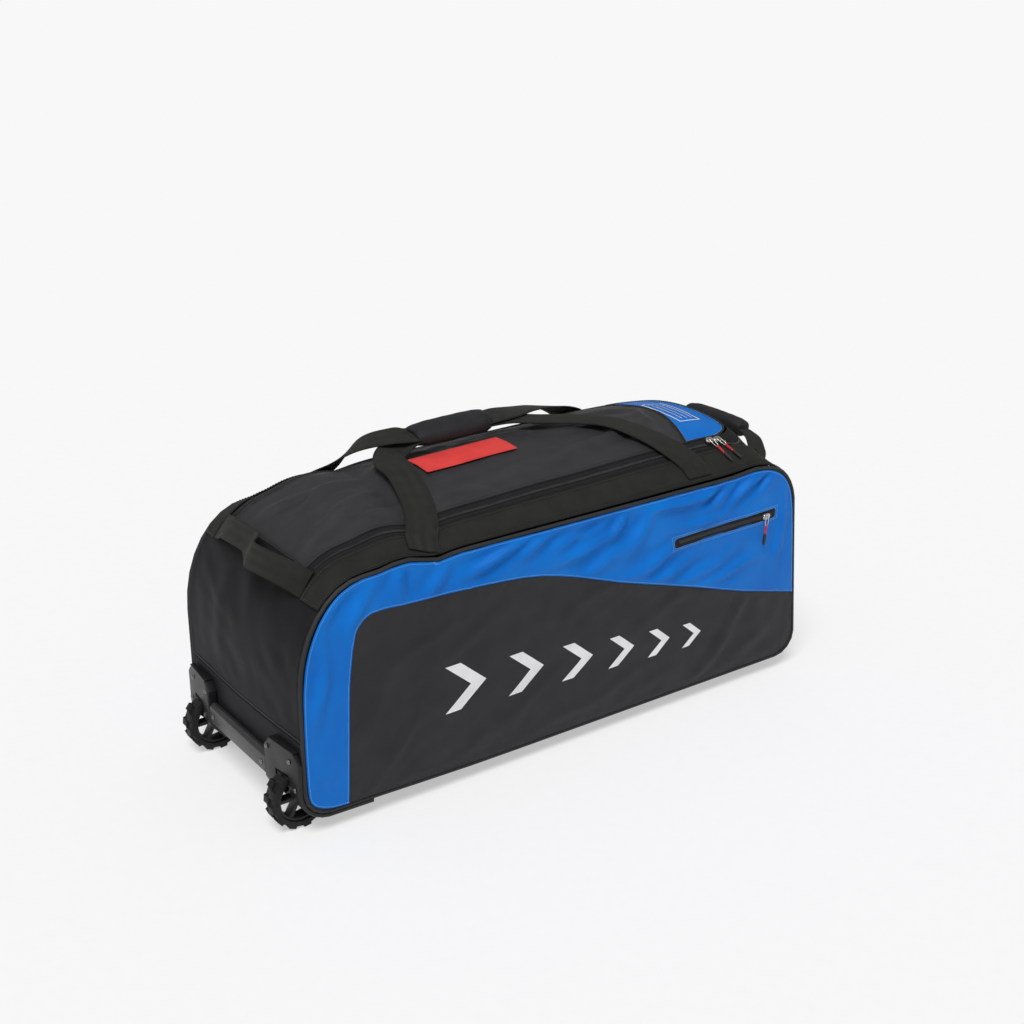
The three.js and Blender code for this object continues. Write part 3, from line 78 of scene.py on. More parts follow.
def placeLights():
    world = bpy.data.worlds.new("studio")
    world.use_nodes = True
    background = world.node_tree.nodes["Background"]
    background.inputs["Color"].default_value = (1, 1, 1, 1)
    background.inputs["Strength"].default_value = stageLook["worldStrength"]
    scene.world = world
    for i, (place, strength, softness) in enumerate(stageLook["suns"]):
        light = bpy.data.lights.new(f"soft_sun_{i}", "SUN")
        light.energy = strength
        light.angle = math.radians(softness)
        lamp = bpy.data.objects.new(f"soft_sun_{i}", light)
        scene.collection.objects.link(lamp)
        lamp.rotation_euler = Vector(place).to_track_quat("Z", "Y").to_euler()
    scene.view_settings.view_transform = "Standard"


# Materials

def addNode(tree, kind, inputs=None, **settings):
    node = tree.nodes.new(kind)
    for key, value in settings.items():
        setattr(node, key, value)
    for key, value in (inputs or {}).items():
        if isinstance(value, bpy.types.NodeSocket):
            tree.links.new(value, node.inputs[key])
        else:
            node.inputs[key].default_value = value
    return node


def mathOn(tree, operation, first, second=0.0):
    return addNode(tree, "ShaderNodeMath", {0: first, 1: second}, operation=operation).outputs[0]


def mixColours(tree, factor, first, second, blend="MIX"):
    mix = addNode(tree, "ShaderNodeMix", {0: factor, 6: first, 7: second}, data_type="RGBA", blend_type=blend)
    return mix.outputs[2]


def noiseOn(tree, vector, scale, detail=3.0, roughness=0.55):
    return addNode(tree, "ShaderNodeTexNoise", {
        "Vector": vector, "Scale": scale, "Detail": detail, "Roughness": roughness,
    }).outputs["Fac"]


def stretched(tree, factor, low, high):
    # turns a band of a noise into 0 to 1
    return addNode(tree, "ShaderNodeMapRange", {
        "Value": factor, "From Min": low, "From Max": high,
    }).outputs["Result"]


def startMaterial(name, sockets):
    material = bpy.data.materials.new(name)
    material.use_nodes = True
    tree = material.node_tree
    shader = tree.nodes["Principled BSDF"]
    for socket, value in sockets.items():
        shader.inputs[socket].default_value = value
    return material, tree, shader


def linkColour(tree, shader, colour):
    tree.links.new(colour, shader.inputs["Base Color"])


def bumpInto(tree, shader, layers):
    # each layer is a height, its distance in metres and its strength
    normal = None
    for height, distance, strength in layers:
        inputs = {"Height": height, "Distance": distance, "Strength": strength}
        if normal is not None:
            inputs["Normal"] = normal
        normal = addNode(tree, "ShaderNodeBump", inputs).outputs["Normal"]
    tree.links.new(normal, shader.inputs["Normal"])


def objectPlace(tree):
    return addNode(tree, "ShaderNodeTexCoord").outputs["Object"]


def threadWaves(tree, vector, pitch):
    # crossed waves that draw the threads: a wave fades where the cloth faces along it
    facing = addNode(tree, "ShaderNodeSeparateXYZ", {0: addNode(tree, "ShaderNodeNewGeometry").outputs["Normal"]})
    total = 0.0
    for axis in "XYZ":
        wave = addNode(tree, "ShaderNodeTexWave", {
            "Vector": vector, "Scale": math.pi / 10 / pitch, "Distortion": 0.6, "Detail": 1.0, "Detail Scale": 2.0,
        }, wave_type="BANDS", bands_direction=axis).outputs["Fac"]
        seen = stretched(tree, mathOn(tree, "ABSOLUTE", facing.outputs[axis]), 0.85, 0.5)
        total = mathOn(tree, "ADD", mathOn(tree, "MULTIPLY", wave, seen), total)
    return total


def clothMaterial(name, look):
    material, tree, shader = startMaterial(name, {
        "Roughness": look["roughness"],
        "Sheen Weight": look["sheen"],
        "Sheen Roughness": 0.45,
        "Sheen Tint": look["sheenTint"],
        "Specular IOR Level": look["specular"],
    })
    place = objectPlace(tree)
    mottle = stretched(tree, noiseOn(tree, place, look["mottleScale"], 5.0), 0.3, 0.7)
    threads = threadWaves(tree, place, look["pitch"])
    threadTone = stretched(tree, threads, 0.2, 1.8)
    colour = mixColours(tree, mottle, look["dark"], look["light"])
    colour = mixColours(tree, mathOn(tree, "MULTIPLY", threadTone, look["threadTone"]), colour, look["thread"])
    lint = stretched(tree, noiseOn(tree, place, 900.0, 2.0), 0.72, 0.8)
    colour = mixColours(tree, mathOn(tree, "MULTIPLY", lint, look["lint"]), colour, (0.3, 0.3, 0.32, 1))
    linkColour(tree, shader, colour)
    bumpInto(tree, shader, [
        (noiseOn(tree, place, 34.0, 4.0), 0.0022, look["crumple"]),
        (threads, 0.00016, look["weave"]),
    ])
    return material


def webbingMaterial(name, look):
    # ribs across the strap in a herringbone that follows its own UV map, in metres
    material, tree, shader = startMaterial(name, {
        "Roughness": 0.75, "Sheen Weight": 0.03, "Sheen Roughness": 0.5, "Specular IOR Level": 0.18,
    })
    along = addNode(tree, "ShaderNodeSeparateXYZ", {0: addNode(tree, "ShaderNodeUVMap", uv_map="along").outputs[0]})
    zigzag = mathOn(tree, "PINGPONG", along.outputs[1], look["herringbone"])
    place = addNode(tree, "ShaderNodeCombineXYZ", {0: mathOn(tree, "ADD", along.outputs[0], zigzag)})
    ribs = addNode(tree, "ShaderNodeTexWave", {
        "Vector": place.outputs[0], "Scale": math.pi / 10 / look["pitch"], "Distortion": 0.0,
    }, wave_type="BANDS", bands_direction="X").outputs["Fac"]
    mottle = stretched(tree, noiseOn(tree, objectPlace(tree), 60.0, 5.0), 0.3, 0.7)
    colour = mixColours(tree, mottle, look["dark"], look["light"])
    colour = mixColours(tree, mathOn(tree, "MULTIPLY", ribs, 0.5), colour, look["thread"])
    linkColour(tree, shader, colour)
    bumpInto(tree, shader, [(mottle, 0.0006, 0.4), (ribs, 0.0004, 0.9)])
    return material


def mouldedMaterial(name, look):
    # grained plastic or rubber, paler where its edges have rubbed
    material, tree, shader = startMaterial(name, {
        "Roughness": look["roughness"], "Metallic": look.get("metallic", 0.0),
        "Specular IOR Level": look.get("specular", 0.5),
    })
    place = objectPlace(tree)
    mottle = stretched(tree, noiseOn(tree, place, 55.0, 5.0), 0.35, 0.65)
    colour = mixColours(tree, mottle, look["dark"], look["light"])
    wear = addNode(tree, "ShaderNodeAttribute", attribute_name="wear").outputs["Fac"]
    rubbed = mathOn(tree, "MULTIPLY", wear, stretched(tree, noiseOn(tree, place, 260.0, 4.0), 0.4, 0.75))
    colour = mixColours(tree, mathOn(tree, "MULTIPLY", rubbed, look["wear"]), colour, look["rubbed"])
    linkColour(tree, shader, colour)
    scratches = noiseOn(tree, place, 420.0, 6.0, 0.7)
    grain = noiseOn(tree, place, look["grain"], 2.0)
    rough = addNode(tree, "ShaderNodeMapRange", {
        "Value": scratches, "To Min": look["roughness"] - 0.08, "To Max": look["roughness"] + 0.12,
    }).outputs["Result"]
    tree.links.new(rough, shader.inputs["Roughness"])
    bumpInto(tree, shader, [(grain, 0.0002, look["bump"])])
    return material


blackTint = (0.5, 0.5, 0.55, 1)
clothLooks = {
    "blueCloth": {
        "roughness": 0.4, "sheen": 0.0, "sheenTint": (0.1, 0.5, 1, 1), "specular": 0.15,
        "dark": (0.0, 0.108, 0.48, 1), "light": (0.0, 0.15, 0.58, 1), "thread": (0.003, 0.25, 0.74, 1),
        "threadTone": 0.35, "mottleScale": 14.0, "pitch": 0.0007, "lint": 0.1, "crumple": 0.12, "weave": 0.5,
    },
    "blackCloth": {
        "roughness": 0.5, "sheen": 0.05, "sheenTint": blackTint, "specular": 0.2,
        "dark": (0.011, 0.011, 0.0125, 1), "light": (0.019, 0.019, 0.021, 1), "thread": (0.045, 0.045, 0.048, 1),
        "threadTone": 0.4, "mottleScale": 22.0, "pitch": 0.0007, "lint": 0.35, "crumple": 0.14, "weave": 0.5,
    },
    # the same black cloth as the sides, painted lighter as painted light where the lid faces up to the sun
    "lidClothPaintedLight": {
        "roughness": 0.46, "sheen": 0.06, "sheenTint": blackTint, "specular": 0.28,
        "dark": (0.016, 0.016, 0.0175, 1), "light": (0.026, 0.026, 0.0275, 1), "thread": (0.055, 0.055, 0.058, 1),
        "threadTone": 0.4, "mottleScale": 22.0, "pitch": 0.0007, "lint": 0.3, "crumple": 0.16, "weave": 0.5,
    },
    # black cloth of the ends, kick panel and base, painted darker than the sides as painted shade where the ends face
    # away from the light
    "endClothPaintedShade": {
        "roughness": 0.62, "sheen": 0.03, "sheenTint": blackTint, "specular": 0.14,
        "dark": (0.0045, 0.0045, 0.0055, 1), "light": (0.0075, 0.0075, 0.009, 1), "thread": (0.018, 0.018, 0.0195, 1),
        "threadTone": 0.4, "mottleScale": 18.0, "pitch": 0.0009, "lint": 0.2, "crumple": 0.14, "weave": 0.5,
    },
    "bandCloth": {
        "roughness": 0.75, "sheen": 0.03, "sheenTint": (0.6, 0.6, 0.5, 1), "specular": 0.16,
        "dark": (0.008, 0.008, 0.0075, 1), "light": (0.015, 0.015, 0.013, 1), "thread": (0.04, 0.04, 0.034, 1),
        "threadTone": 0.5, "mottleScale": 40.0, "pitch": 0.0016, "lint": 0.25, "crumple": 0.1, "weave": 1.0,
    },
    "zipCloth": {
        "roughness": 0.7, "sheen": 0.03, "sheenTint": blackTint, "specular": 0.16,
        "dark": (0.006, 0.006, 0.0065, 1), "light": (0.011, 0.011, 0.012, 1), "thread": (0.03, 0.03, 0.032, 1),
        "threadTone": 0.4, "mottleScale": 50.0, "pitch": 0.0011, "lint": 0.1, "crumple": 0.05, "weave": 0.8,
    },
    "pipingCloth": {
        "roughness": 0.55, "sheen": 0.05, "sheenTint": blackTint, "specular": 0.45,
        "dark": (0.004, 0.004, 0.0045, 1), "light": (0.009, 0.009, 0.01, 1), "thread": (0.03, 0.03, 0.034, 1),
        "threadTone": 0.3, "mottleScale": 60.0, "pitch": 0.0009, "lint": 0.1, "crumple": 0.1, "weave": 0.7,
    },
    "padCloth": {
        "roughness": 0.6, "sheen": 0.04, "sheenTint": blackTint, "specular": 0.2,
        "dark": (0.009, 0.009, 0.01, 1), "light": (0.016, 0.016, 0.0175, 1), "thread": (0.04, 0.04, 0.044, 1),
        "threadTone": 0.4, "mottleScale": 40.0, "pitch": 0.0008, "lint": 0.3, "crumple": 0.16, "weave": 0.5,
    },
    "labelCloth": {
        "roughness": 0.45, "sheen": 0.05, "sheenTint": (1, 0.6, 0.6, 1), "specular": 0.4,
        "dark": (0.66, 0.028, 0.026, 1), "light": (0.78, 0.045, 0.04, 1), "thread": (0.9, 0.14, 0.12, 1),
        "threadTone": 0.3, "mottleScale": 30.0, "pitch": 0.0008, "lint": 0.0, "crumple": 0.06, "weave": 0.4,
    },
    "printInk": {
        "roughness": 0.5, "sheen": 0.0, "sheenTint": (1, 1, 1, 1), "specular": 0.4,
        "dark": (0.72, 0.72, 0.74, 1), "light": (0.83, 0.83, 0.84, 1), "thread": (0.9, 0.9, 0.9, 1),
        "threadTone": 0.25, "mottleScale": 40.0, "pitch": 0.0007, "lint": 0.0, "crumple": 0.08, "weave": 0.35,
    },
    "blueThread": {
        "roughness": 0.55, "sheen": 0.1, "sheenTint": (0.7, 0.85, 1, 1), "specular": 0.4,
        "dark": (0.14, 0.42, 0.85, 1), "light": (0.22, 0.52, 0.92, 1), "thread": (0.35, 0.65, 1, 1),
        "threadTone": 0.3, "mottleScale": 300.0, "pitch": 0.0004, "lint": 0.0, "crumple": 0.1, "weave": 0.5,
    },
    "blackThread": {
        "roughness": 0.6, "sheen": 0.1, "sheenTint": blackTint, "specular": 0.4,
        "dark": (0.012, 0.012, 0.013, 1), "light": (0.03, 0.03, 0.032, 1), "thread": (0.06, 0.06, 0.062, 1),
        "threadTone": 0.3, "mottleScale": 300.0, "pitch": 0.0004, "lint": 0.0, "crumple": 0.1, "weave": 0.5,
    },
    "redCordCloth": {
        "roughness": 0.55, "sheen": 0.1, "sheenTint": (1, 0.5, 0.5, 1), "specular": 0.4,
        "dark": (0.5, 0.012, 0.018, 1), "light": (0.68, 0.03, 0.03, 1), "thread": (0.85, 0.1, 0.09, 1),
        "threadTone": 0.4, "mottleScale": 200.0, "pitch": 0.0006, "lint": 0.0, "crumple": 0.1, "weave": 0.9,
    },
}
mouldedLooks = {
    "housingPlastic": {
        "roughness": 0.4, "dark": (0.008, 0.008, 0.0085, 1), "light": (0.011, 0.011, 0.0115, 1), "specular": 0.3,
        "rubbed": (0.07, 0.07, 0.072, 1), "wear": 0.5, "grain": 1500.0, "bump": 0.25,
    },
    "barPlastic": {
        "roughness": 0.32, "dark": (0.026, 0.026, 0.0265, 1), "light": (0.032, 0.032, 0.033, 1), "specular": 0.4,
        "rubbed": (0.12, 0.12, 0.12, 1), "wear": 0.4, "grain": 900.0, "bump": 0.15,
    },
    "tyreRubber": {
        "roughness": 0.55, "dark": (0.006, 0.006, 0.0064, 1), "light": (0.011, 0.011, 0.0115, 1),
        "rubbed": (0.035, 0.035, 0.035, 1), "wear": 0.7, "grain": 800.0, "bump": 0.3, "specular": 0.25,
    },
    "rimPlastic": {
        "roughness": 0.38, "dark": (0.007, 0.007, 0.0075, 1), "light": (0.011, 0.011, 0.0115, 1), "specular": 0.3,
        "rubbed": (0.09, 0.09, 0.095, 1), "wear": 0.6, "grain": 1300.0, "bump": 0.35,
    },
    "steel": {
        "roughness": 0.28, "metallic": 1.0, "dark": (0.5, 0.48, 0.44, 1), "light": (0.66, 0.63, 0.58, 1),
        "rubbed": (0.85, 0.83, 0.78, 1), "wear": 0.6, "grain": 700.0, "bump": 0.15,
    },
    "darkSteel": {
        "roughness": 0.36, "metallic": 1.0, "dark": (0.13, 0.13, 0.135, 1), "light": (0.2, 0.2, 0.205, 1),
        "rubbed": (0.5, 0.5, 0.5, 1), "wear": 0.7, "grain": 700.0, "bump": 0.2,
    },
    "pullRubber": {
        "roughness": 0.6, "dark": (0.008, 0.008, 0.009, 1), "light": (0.016, 0.016, 0.017, 1),
        "rubbed": (0.06, 0.06, 0.06, 1), "wear": 0.5, "grain": 1500.0, "bump": 0.3,
    },
    "coilPlastic": {
        "roughness": 0.4, "dark": (0.012, 0.012, 0.013, 1), "light": (0.022, 0.022, 0.024, 1),
        "rubbed": (0.08, 0.08, 0.08, 1), "wear": 0.3, "grain": 1800.0, "bump": 0.2,
    },
    "floorPaper": {
        "roughness": 0.7, "dark": (0.47, 0.47, 0.475, 1), "light": (0.48, 0.48, 0.485, 1), "specular": 0.0,
        "rubbed": (0.48, 0.48, 0.48, 1), "wear": 0.0, "grain": 300.0, "bump": 0.02,
    },
}
webbingLook = {
    "pitch": 0.0019, "herringbone": 0.0075,
    "dark": (0.008, 0.008, 0.0075, 1), "light": (0.016, 0.016, 0.014, 1), "thread": (0.045, 0.045, 0.038, 1),
}
cloths = {name: clothMaterial(name, look) for name, look in clothLooks.items()}
moulded = {name: mouldedMaterial(name, look) for name, look in mouldedLooks.items()}
webbing = webbingMaterial("webbing", webbingLook)
print("materials made")


# Making and finishing pieces

def mergedCopy(node):
    bm = bmesh.new()
    bm.from_mesh(nodes[node].data)
    bmesh.ops.remove_doubles(bm, verts=bm.verts, dist=0.02 * mm)
    bm.normal_update()
    return bm


def finishPiece(name, bm, material, replaced=(), body="bag", sharp=None):
    for face in bm.faces:
        face.smooth = True
    if sharp is not None:
        for edge in bm.edges:
            if len(edge.link_faces) == 2 and edge.calc_face_angle(0) > math.radians(sharp):
                edge.smooth = False
    mesh = bpy.data.meshes.new(name)
    bm.to_mesh(mesh)
    bm.free()
    mesh.materials.append(material)
    piece = bpy.data.objects.new(name, mesh)
    scene.collection.objects.link(piece)
    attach(piece, body)
    if replaced:
        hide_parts(*replaced)
    return piece


def applyModifiers(piece):
    bpy.context.view_layer.update()
    evaluated = piece.evaluated_get(bpy.context.evaluated_depsgraph_get())
    mesh = bpy.data.meshes.new_from_object(evaluated)
    piece.modifiers.clear()
    old = piece.data
    piece.data = mesh
    bpy.data.meshes.remove(old)


def addSmoothing(piece, levels):
    smooth = piece.modifiers.new("smooth", "SUBSURF")
    smooth.levels = smooth.render_levels = levels
    smooth.boundary_smooth = "PRESERVE_CORNERS"


def addWall(piece, thickness, offset=-1.0):
    wall = piece.modifiers.new("wall", "SOLIDIFY")
    wall.thickness = thickness
    wall.offset = offset


def surfaceOf(pieces):
    places, faces = [], []
    for piece in pieces:
        first = len(places)
        places += [v.co.copy() for v in piece.data.vertices]
        faces += [[first + i for i in face.vertices] for face in piece.data.polygons]
    return BVHTree.FromPolygons(places, faces)


def repeatedShape(makeOne, matrices):
    # copies a small shape many times, in short runs that bmesh handles quickly
    whole = bmesh.new()
    run = 80
    for start in range(0, len(matrices), run):
        part = bmesh.new()
        for matrix in matrices[start:start + run]:
            makeOne(part, matrix)
        mesh = bpy.data.meshes.new("run")
        part.to_mesh(mesh)
        part.free()
        whole.from_mesh(mesh)
        bpy.data.meshes.remove(mesh)
    return whole


def turnedTo(place, along, up):
    # a matrix with X along a line and Z as near to up as it goes
    x = along.normalized()
    y = up.cross(x).normalized()
    z = x.cross(y)
    return Matrix.Translation(place) @ Matrix((x, y, z)).transposed().to_4x4()


def evenSteps(points, pitch, closed=False):
    # the points of a line at an even pitch, each with its direction
    line = points + [points[0]] if closed else points
    placed, spare = [], 0.0
    for first, second in zip(line, line[1:]):
        length = (second - first).length
        while spare < length:
            placed.append((first.lerp(second, spare / length), (second - first).normalized()))
            spare += pitch
        spare -= length
    return placed


def smoothRow(rows, share):
    # a point of a smooth line through the rows, at a share of its length
    rows = np.asarray(rows, float)
    at = min(share, 0.999999) * (len(rows) - 1)
    i = int(at)
    t = at - i
    a, b = rows[max(i - 1, 0)], rows[i]
    c, d = rows[i + 1], rows[min(i + 2, len(rows) - 1)]
    return 0.5 * (2 * b + (c - a) * t + (2 * a - 5 * b + 4 * c - d) * t ** 2 + (3 * b - a - 3 * c + d) * t ** 3)


# Cloth skins of the shell: each starts from the outer face of its solid and is smoothed and sculpted

def towardFront(place):
    return Vector((0, -1, 0))


def towardBack(place):
    return Vector((0, 1, 0))


def fromCore(place):
    core = Vector((min(max(place.x, -0.34), 0.37), 0, min(max(place.z, 0.11), 0.29)))
    return (Vector((place.x, 0, place.z)) - core).normalized()


def boundaryKd(mesh):
    bm = bmesh.new()
    bm.from_mesh(mesh)
    edge = [v.co.copy() for v in bm.verts if v.is_boundary]
    bm.free()
    kd = KDTree(len(edge))
    for i, place in enumerate(edge):
        kd.insert(place, i)
    kd.balance()
    return kd


def sculptCloth(piece, look):
    mesh = piece.data
    count = len(mesh.vertices)
    places = np.empty(count * 3)
    mesh.vertices.foreach_get("co", places)
    places = places.reshape(-1, 3)
    normals = np.empty(count * 3)
    mesh.vertex_normals.foreach_get("vector", normals)
    normals = normals.reshape(-1, 3)
    edge = boundaryKd(mesh)
    seed = look["seed"]
    first, second = (places[:, "xyz".index(axis)] / mm for axis in look["plane"])
    gap = np.array([edge.find(Vector(p))[2] for p in places]) / mm
    drift = np.array([noise.noise(Vector((a / 90, b / 90, seed))) for a, b in zip(first, second)])
    a = first + look["drift"] * drift
    b = second - look["drift"] * drift
    lift = np.zeros(count)
    for x, z, turn, long, wide, height in look["folds"]:
        c, s = math.cos(math.radians(turn)), math.sin(math.radians(turn))
        along = ((a - x) * c + (b - z) * s) / long
        across = ((b - z) * c - (a - x) * s) / wide
        lift += look["foldScale"] * height * np.exp(-along ** 2) * (1 - across ** 2) * np.exp(-0.5 * across ** 2)
    for turn, long, wide, height in look["slack"]:
        c, s = math.cos(math.radians(turn)), math.sin(math.radians(turn))
        along = (a * c + b * s) / long
        across = (b * c - a * s) / wide
        wave = np.array([noise.noise(Vector((p, q, seed + 7))) for p, q in zip(along, across)])
        lift += height * 1.6 * wave
        seed += 3
    lift *= np.clip(gap / look["fade"], 0, 1) ** 1.2
    tuck = np.array([noise.noise(Vector((p[0] * 95, p[1] * 95, p[2] * 95 + seed))) for p in places])
    lift += look["tuck"] * tuck * np.exp(-gap / 11) * np.clip(gap / 3.5, 0, 1)
    places += normals * lift[:, None] * mm
    mesh.vertices.foreach_set("co", places.ravel())
    mesh.update()


def clothSkin(name, node, look):
    bm = mergedCopy(node)
    outward = look["outward"]
    hidden = [f for f in bm.faces if f.normal.dot(outward(f.calc_center_median())) < 0.3]
    bmesh.ops.delete(bm, geom=hidden, context="FACES")
    bmesh.ops.join_triangles(
        bm, faces=bm.faces[:], angle_face_threshold=math.radians(50), angle_shape_threshold=math.radians(100),
    )
    piece = finishPiece(name, bm, look["material"], (node,))
    addSmoothing(piece, look["levels"])
    applyModifiers(piece)
    sculptCloth(piece, look)
    return piece


upperFolds = [
    # X, Z, turn, half length, half width, height
    (-99, 342, 13, 46, 8, 2.4), (-47, 338, 24, 36, 8, 2.6), (86, 334, 44, 30, 8, 2.8), (205, 341, 6, 60, 9, 2.6),
    (280, 340, 24, 38, 8, -2.8), (339, 334, 38, 36, 7, 3.0), (377, 342, 42, 28, 6, -2.6), (155, 262, 13, 70, 9, 2.2),
    (181, 240, 9, 66, 8, 2.0), (320, 209, 12, 50, 9, 1.8), (-281, 346, 88, 32, 9, 2.6), (14, 312, 14, 52, 10, 2.4),
    (26, 346, 18, 36, 8, -2.2), (-150, 330, 12, 40, 9, 2.0), (-378, 323, 46, 30, 9, 2.0), (252, 297, 4, 44, 8, 1.8),
    (-226, 326, 44, 30, 9, 2.0), (130, 306, 38, 44, 10, 2.2), (60, 280, 22, 60, 11, 1.8), (-340, 300, 62, 40, 11, 1.8),
    (-410, 220, 84, 60, 9, 1.6), (412, 250, 78, 50, 10, 1.6), (240, 222, 16, 60, 10, 1.6), (-8, 330, 30, 30, 8, 2.0),
]
lowerFolds = [
    (330, 120, 58, 62, 13, 2.2), (384, 156, 74, 52, 12, 1.8), (290, 66, 28, 72, 12, 1.8), (-330, 170, 62, 64, 12, 2.0),
    (-300, 92, 48, 56, 11, 1.8), (-180, 220, 20, 70, 12, 1.6), (60, 70, 12, 90, 12, 1.6), (-90, 90, 24, 80, 12, 1.6),
    (180, 180, 20, 80, 13, 1.6), (-250, 240, 28, 46, 9, 1.8), (40, 232, 10, 70, 11, 1.4), (372, 80, 44, 44, 11, 1.8),
    (-370, 60, 66, 40, 10, 1.6),
]
lidFolds = [
    # X, Y, turn, half length, half width, height
    (-300, -40, 22, 80, 9, 1.9), (-260, 30, 14, 70, 10, 1.7), (-330, 50, -18, 50, 10, 1.8), (-230, -70, 8, 60, 8, 1.6),
    (60, -62, 10, 70, 9, 1.6), (120, 10, -12, 70, 10, 1.6), (180, -40, 16, 60, 8, 1.8), (230, 52, -20, 60, 9, 1.8),
    (-60, -70, 4, 80, 8, 1.6), (-120, 64, 6, 80, 10, 1.5), (262, -20, 64, 50, 8, 1.8), (20, 44, -6, 80, 10, 1.4),
]
endFolds = [
    # Y, Z, turn, half length, half width, height
    (-90, 260, 70, 70, 16, 2.0), (60, 240, 96, 80, 18, 2.2), (-20, 180, 84, 60, 16, 1.6), (110, 190, 74, 60, 14, 1.6),
    (-130, 180, 96, 70, 12, 1.8), (0, 310, 10, 90, 12, 1.4),
]
bandFolds = [(-300, 330, 10, 30, 8, 0.8), (0, 350, 6, 40, 8, 0.7), (200, 352, 8, 40, 8, 0.8)]


def skinLook(material, slot, plane, outward, **changes):
    look = {
        "material": cloths[material], "slot": slot, "plane": plane, "outward": outward, "levels": 3, "seed": 1.0,
        "drift": 14.0, "folds": [], "slack": [(24, 90, 26, 0.9), (60, 60, 24, 0.5)], "fade": 14.0, "tuck": 1.2,
        "foldScale": 1.3,
    }
    look.update(changes)
    return look


def mirrored(folds, shift):
    return [(x + shift, z, 180 - turn, long, wide, height) for x, z, turn, long, wide, height in folds]


skinLooks = {
    "blue_side_front": ("side_panel_front_upper", skinLook(
        "blueCloth", "blue_cloth", "xz", towardFront, folds=upperFolds, foldScale=2.3)),
    "blue_side_back": ("side_panel_back_upper", skinLook(
        "blueCloth", "blue_cloth", "xz", towardBack, folds=mirrored(upperFolds, 12), seed=4.0, foldScale=2.3)),
    "black_side_front": ("side_panel_front_lower", skinLook(
        "blackCloth", "black_cloth", "xz", towardFront, folds=lowerFolds, seed=9.0)),
    "black_side_back": ("side_panel_back_lower", skinLook(
        "blackCloth", "black_cloth", "xz", towardBack, folds=mirrored(lowerFolds, -9), seed=13.0)),
    "lid_cloth": ("lid_panel", skinLook(
        "lidClothPaintedLight", "black_cloth", "xy", fromCore, folds=lidFolds, foldScale=2.0,
        slack=[(8, 90, 18, 1.0), (-20, 60, 16, 0.7)], seed=17.0)),
    "lid_patch_cloth": ("lid_patch", skinLook(
        "blueCloth", "blue_cloth", "xy", fromCore, slack=[(70, 60, 16, 0.9)], seed=21.0, fade=12.0)),
    "wheel_end_cloth": ("end_panel_wheel", skinLook(
        "endClothPaintedShade", "end_cloth", "yz", fromCore, folds=endFolds, seed=25.0, fade=22.0, foldScale=0.5)),
    "far_end_cloth": ("end_panel_far", skinLook(
        "endClothPaintedShade", "end_cloth", "yz", fromCore, folds=mirrored(endFolds, 10), seed=29.0, fade=22.0, foldScale=0.5)),
    "band_front": ("top_band_front", skinLook(
        "bandCloth", "webbing", "xz", fromCore, levels=2, folds=bandFolds, slack=[(6, 60, 18, 0.5)], seed=33.0, fade=8.0,
        tuck=0.7)),
    "band_back": ("top_band_back", skinLook(
        "bandCloth", "webbing", "xz", fromCore, levels=2, folds=bandFolds, slack=[(6, 60, 18, 0.5)], seed=37.0, fade=8.0,
        tuck=0.7)),
    "band_far": ("top_band_far", skinLook(
        "bandCloth", "webbing", "yz", fromCore, slack=[(80, 60, 20, 0.6)], seed=41.0, fade=10.0)),
    "kick_cloth": ("kick_panel", skinLook(
        "endClothPaintedShade", "end_cloth", "yz", fromCore, levels=2, slack=[(86, 60, 24, 0.6)], seed=45.0, fade=12.0)),
    "base_cloth": ("base_panel", skinLook(
        "endClothPaintedShade", "end_cloth", "xy", fromCore, levels=2, slack=[(0, 90, 50, 0.5)], seed=49.0, fade=20.0, tuck=0.6)),
    "zip_tape_cloth": ("zip_tape", skinLook(
        "zipCloth", "zip_tape", "xy", fromCore, levels=2, slack=[(0, 40, 30, 0.25)], seed=53.0, fade=4.0, tuck=0.3,
        drift=4.0)),
}
skins = {name: clothSkin(name, node, look) for name, (node, look) in skinLooks.items()}
print("cloth skins sculpted:", len(skins))


# Seam cords, bindings and stitches that follow the edges of the skins

def edgeLoops(piece):
    bm = bmesh.new()
    bm.from_mesh(piece.data)
    spare = {edge for edge in bm.edges if edge.is_boundary}
    loops = []
    while spare:
        edge = spare.pop()
        start, at = edge.verts
        loop = [start.co.copy(), at.co.copy()]
        while at is not start:
            onward = [e for e in at.link_edges if e in spare]
            if not onward:
                break
            spare.remove(onward[0])
            at = onward[0].other_vert(at)
            loop.append(at.co.copy())
        if loop[-1] == loop[0]:
            loop.pop()
        loops.append(loop)
    bm.free()
    return sorted(loops, key=len, reverse=True)


def cordAlong(name, points, radius, material, closed=False):
    curve = bpy.data.curves.new(name, "CURVE")
    curve.dimensions = "3D"
    spline = curve.splines.new("POLY")
    spline.points.add(len(points) - 1)
    for point, place in zip(spline.points, points):
        point.co = (*place, 1)
    spline.use_cyclic_u = closed
    curve.bevel_depth = radius
    curve.bevel_resolution = 2
    curve.use_fill_caps = not closed
    tube = bpy.data.objects.new(name, curve)
    scene.collection.objects.link(tube)
    bpy.context.view_layer.update()
    mesh = bpy.data.meshes.new_from_object(tube)
    bpy.data.objects.remove(tube)
    bm = bmesh.new()
    bm.from_mesh(mesh)
    bpy.data.meshes.remove(mesh)
    bmesh.ops.recalc_face_normals(bm, faces=bm.faces)
    return finishPiece(name, bm, material)


def oneStitch(bm, matrix):
    bmesh.ops.create_icosphere(bm, subdivisions=1, radius=0.5, matrix=matrix)


def stitchRuns(name, runs, surface, look):
    # runs are lines of points on a surface: each stitch lies on it, along the line
    matrices = []
    for points, closed in runs:
        for place, along in evenSteps(points, look["pitch"], closed):
            seat, normal, index, far = surface.find_nearest(place)
            if normal.dot(place - Vector((0, 0, 0.2))) < 0:
                normal = -normal
            size = Matrix.Diagonal((look["long"], look["wide"], look["high"], 1))
            matrices.append(turnedTo(seat + normal * look["high"] * 0.35, along, normal) @ size)
    return finishPiece(name, repeatedShape(oneStitch, matrices), look["material"])


